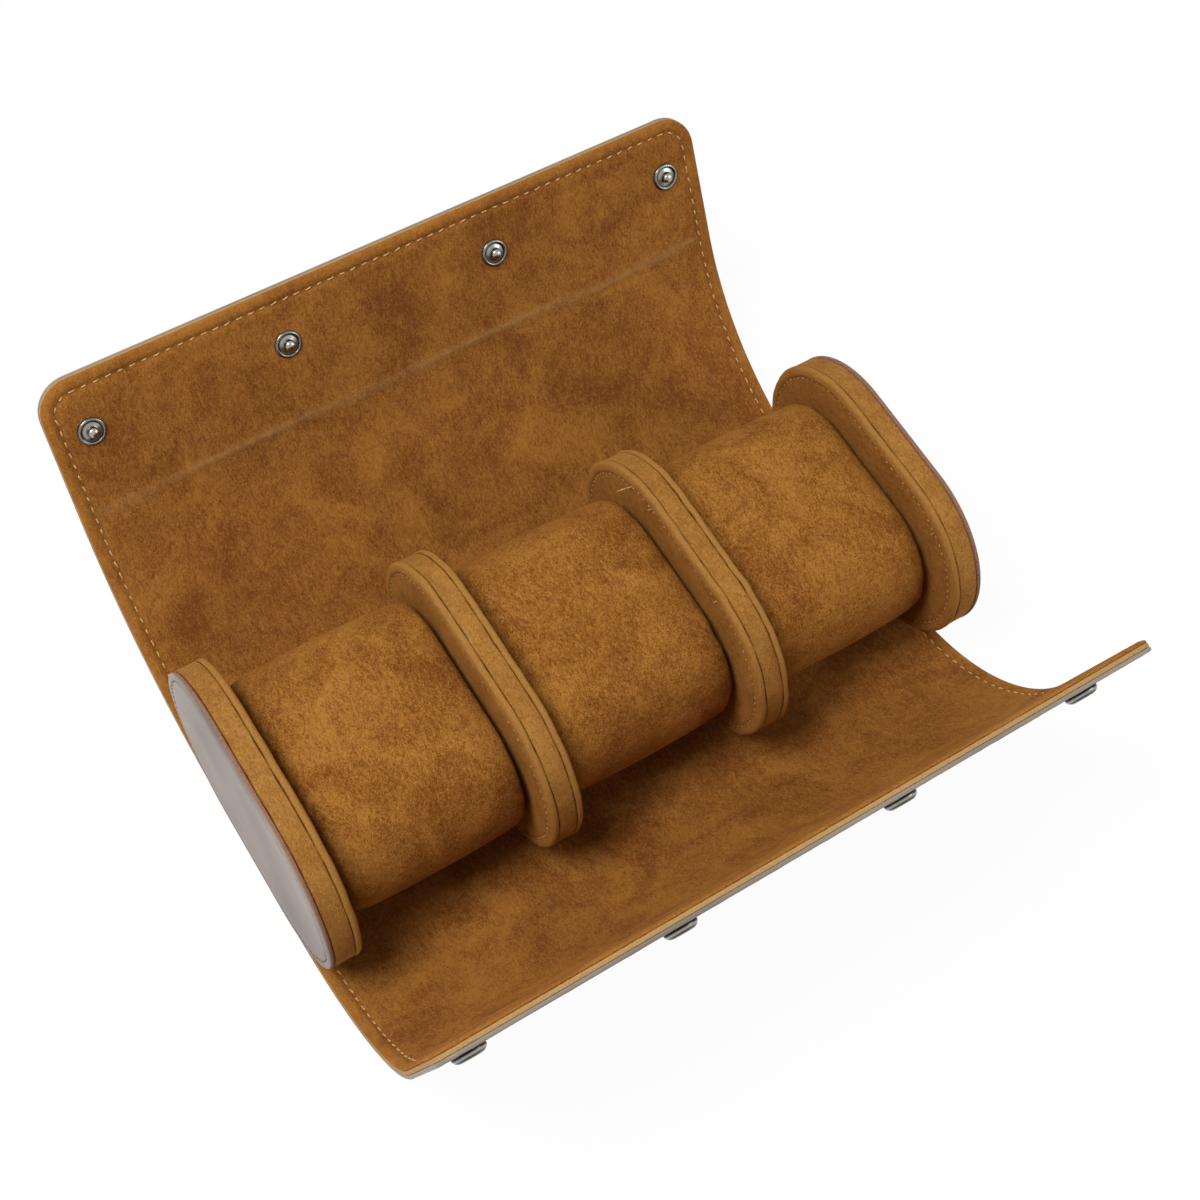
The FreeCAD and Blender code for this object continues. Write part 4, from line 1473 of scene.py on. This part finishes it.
# Lamps: name, place, what they point at, side of their square and power in watts.
LAMPS = (
    ("key", (-0.45, 0.1, 0.87), (0, 0, 0.03), 0.4, 7.7),
    ("fill", (0.55, -0.4, 0.4), (0.06, 0.06, 0.06), 0.3, 1.7),
    ("rim", (0.3, 0.85, 0.75), (0, 0.02, 0.03), 0.5, 1.6))

# The floor's half size and height, how much lighter the camera sees it, and the world's light.
FLOOR_HALF = 3.0
FLOOR_HEIGHT = -0.1 * MM
FLOOR_LIGHTENED = 0.95
WORLD_LIGHT = 0.3

# The camera, fitted to the photograph: turns in radians, place, lens and sensor in millimetres, clipping.
CAMERA_TURN = -0.5698
CAMERA_HEIGHT = 0.9383
CAMERA_TILT = 0.186
CAMERA_PLACE = (-166.6 * MM, -179.7 * MM, 523.2 * MM)
CAMERA_LENS = 61.59
CAMERA_SENSOR = 36
CAMERA_CLIP = 10 * MM


def area_lamp(name, place, target, size, power):
    """Square lamp at a place, turned to its target."""
    lamp = bpy.data.lights.new(name, "AREA")
    lamp.shape = "SQUARE"
    lamp.size = size
    lamp.energy = power
    piece = bpy.data.objects.new(name, lamp)
    piece.location = place
    piece.rotation_euler = (Vector(target) - Vector(place)).to_track_quat("-Z", "Y").to_euler()
    bpy.context.collection.objects.link(piece)


def plainly_seen(add):
    """1 for what the camera sees straight, in a reflection or through glass, else 0."""
    seen = 0.0
    for ray in ("Is Camera Ray", "Is Glossy Ray", "Is Transmission Ray"):
        path = add("ShaderNodeLightPath", output=ray)
        seen = add("ShaderNodeMath", {0: seen, 1: path}, operation="MAXIMUM")
    return seen


def white_floor():
    """Matt white paper that the camera sees lightened, so that only a soft shadow stays."""
    material, add = start_material("white_paper_floor")
    paper = add("ShaderNodeBsdfDiffuse", {"Color": (0.92, 0.92, 0.92, 1)})
    glow = add("ShaderNodeEmission", {"Color": (1, 1, 1, 1), "Strength": 1.0})
    share = add("ShaderNodeMath", {0: plainly_seen(add), 1: FLOOR_LIGHTENED}, operation="MULTIPLY")
    shader = add("ShaderNodeMixShader", {0: share, 1: paper, 2: glow})
    add("ShaderNodeOutputMaterial", {"Surface": shader}, None)
    return material


class CASE_OT_stage(bpy.types.Operator):
    """Set the camera, the lamps, the white floor and the world"""
    bl_idname = "case.stage"
    bl_label = "Stage"

    def execute(self, context):
        mesh = bpy.data.meshes.new("floor")
        around = ((-1, -1), (1, -1), (1, 1), (-1, 1))
        corners = [(x * FLOOR_HALF, y * FLOOR_HALF, FLOOR_HEIGHT) for x, y in around]
        mesh.from_pydata(corners, [], [(0, 1, 2, 3)])
        mesh.materials.append(white_floor())
        floor = bpy.data.objects.new("floor", mesh)
        context.collection.objects.link(floor)
        world = bpy.data.worlds.new("studio")
        context.scene.world = world
        world.use_nodes = True
        world.node_tree.nodes.clear()
        add = partial(add_node, world.node_tree)
        lit = add("ShaderNodeBackground", {"Color": (1, 1, 1, 1), "Strength": WORLD_LIGHT})
        white = add("ShaderNodeBackground", {"Color": (1, 1, 1, 1), "Strength": 1.0})
        shader = add("ShaderNodeMixShader", {0: plainly_seen(add), 1: lit, 2: white})
        add("ShaderNodeOutputWorld", {"Surface": shader}, None)
        for lamp in LAMPS:
            area_lamp(*lamp)
        place_camera(context)
        context.scene.view_settings.view_transform = "Standard"
        return {"FINISHED"}


def place_camera(context):
    """Camera turned about the upright, raised, and tilted with the row about the X axis."""
    right = Vector((math.cos(CAMERA_TURN), math.sin(CAMERA_TURN), 0))
    behind = Vector((math.sin(CAMERA_TURN) * math.cos(CAMERA_HEIGHT),
                     -math.cos(CAMERA_TURN) * math.cos(CAMERA_HEIGHT), math.sin(CAMERA_HEIGHT)))
    above = behind.cross(right)
    turn = Matrix((right, above, behind)).transposed()
    tilt = Matrix.Rotation(-CAMERA_TILT, 3, "X")
    data = bpy.data.cameras.new("camera")
    data.sensor_width = CAMERA_SENSOR
    data.sensor_fit = "HORIZONTAL"
    data.lens = CAMERA_LENS
    data.clip_start = CAMERA_CLIP
    camera = bpy.data.objects.new("camera", data)
    camera.matrix_world = Matrix.Translation(CAMERA_PLACE) @ (tilt @ turn).to_4x4()
    context.collection.objects.link(camera)
    context.scene.camera = camera


GROUPS = (("case_wrap", CASE_PG_wrap), ("case_thread", CASE_PG_thread), ("case_row", CASE_PG_row),
          ("case_snap", CASE_PG_snap), ("case_finish", CASE_PG_finish))
STEPS = (CASE_OT_lining, CASE_OT_leather, CASE_OT_stitching, CASE_OT_discs, CASE_OT_loose_threads,
         CASE_OT_cushions, CASE_OT_snaps, CASE_OT_inside, CASE_OT_stage)


class CASE_PT_panel(bpy.types.Panel):
    """Steps that build the travel case, and its sizes"""
    bl_idname = "CASE_PT_panel"
    bl_label = "Watch travel case"
    bl_space_type = "VIEW_3D"
    bl_region_type = "UI"
    bl_category = "Travel Case"

    def draw(self, context):
        for step in STEPS:
            self.layout.operator(step.bl_idname)
        for name, group in GROUPS:
            box = self.layout.box()
            for field in group.__annotations__:
                box.prop(getattr(context.scene, name), field)


def register():
    """Add the groups of sizes, the steps and the panel to Blender."""
    for name, group in GROUPS:
        bpy.utils.register_class(group)
        setattr(bpy.types.Scene, name, PointerProperty(type=group))
    for shown in (*STEPS, CASE_PT_panel):
        bpy.utils.register_class(shown)


def unregister():
    """Take away what register added, in reverse."""
    for shown in (CASE_PT_panel, *reversed(STEPS)):
        bpy.utils.unregister_class(shown)
    for name, group in reversed(GROUPS):
        delattr(bpy.types.Scene, name)
        bpy.utils.unregister_class(group)


def main():
    """Build every piece and the stage."""
    register()
    bpy.ops.case.lining()
    bpy.ops.case.leather()
    bpy.ops.case.stitching()
    bpy.ops.case.discs()
    bpy.ops.case.loose_threads()
    bpy.ops.case.cushions()
    bpy.ops.case.snaps()
    bpy.ops.case.inside()
    bpy.ops.case.stage()


if __name__ == "__main__":
    main()
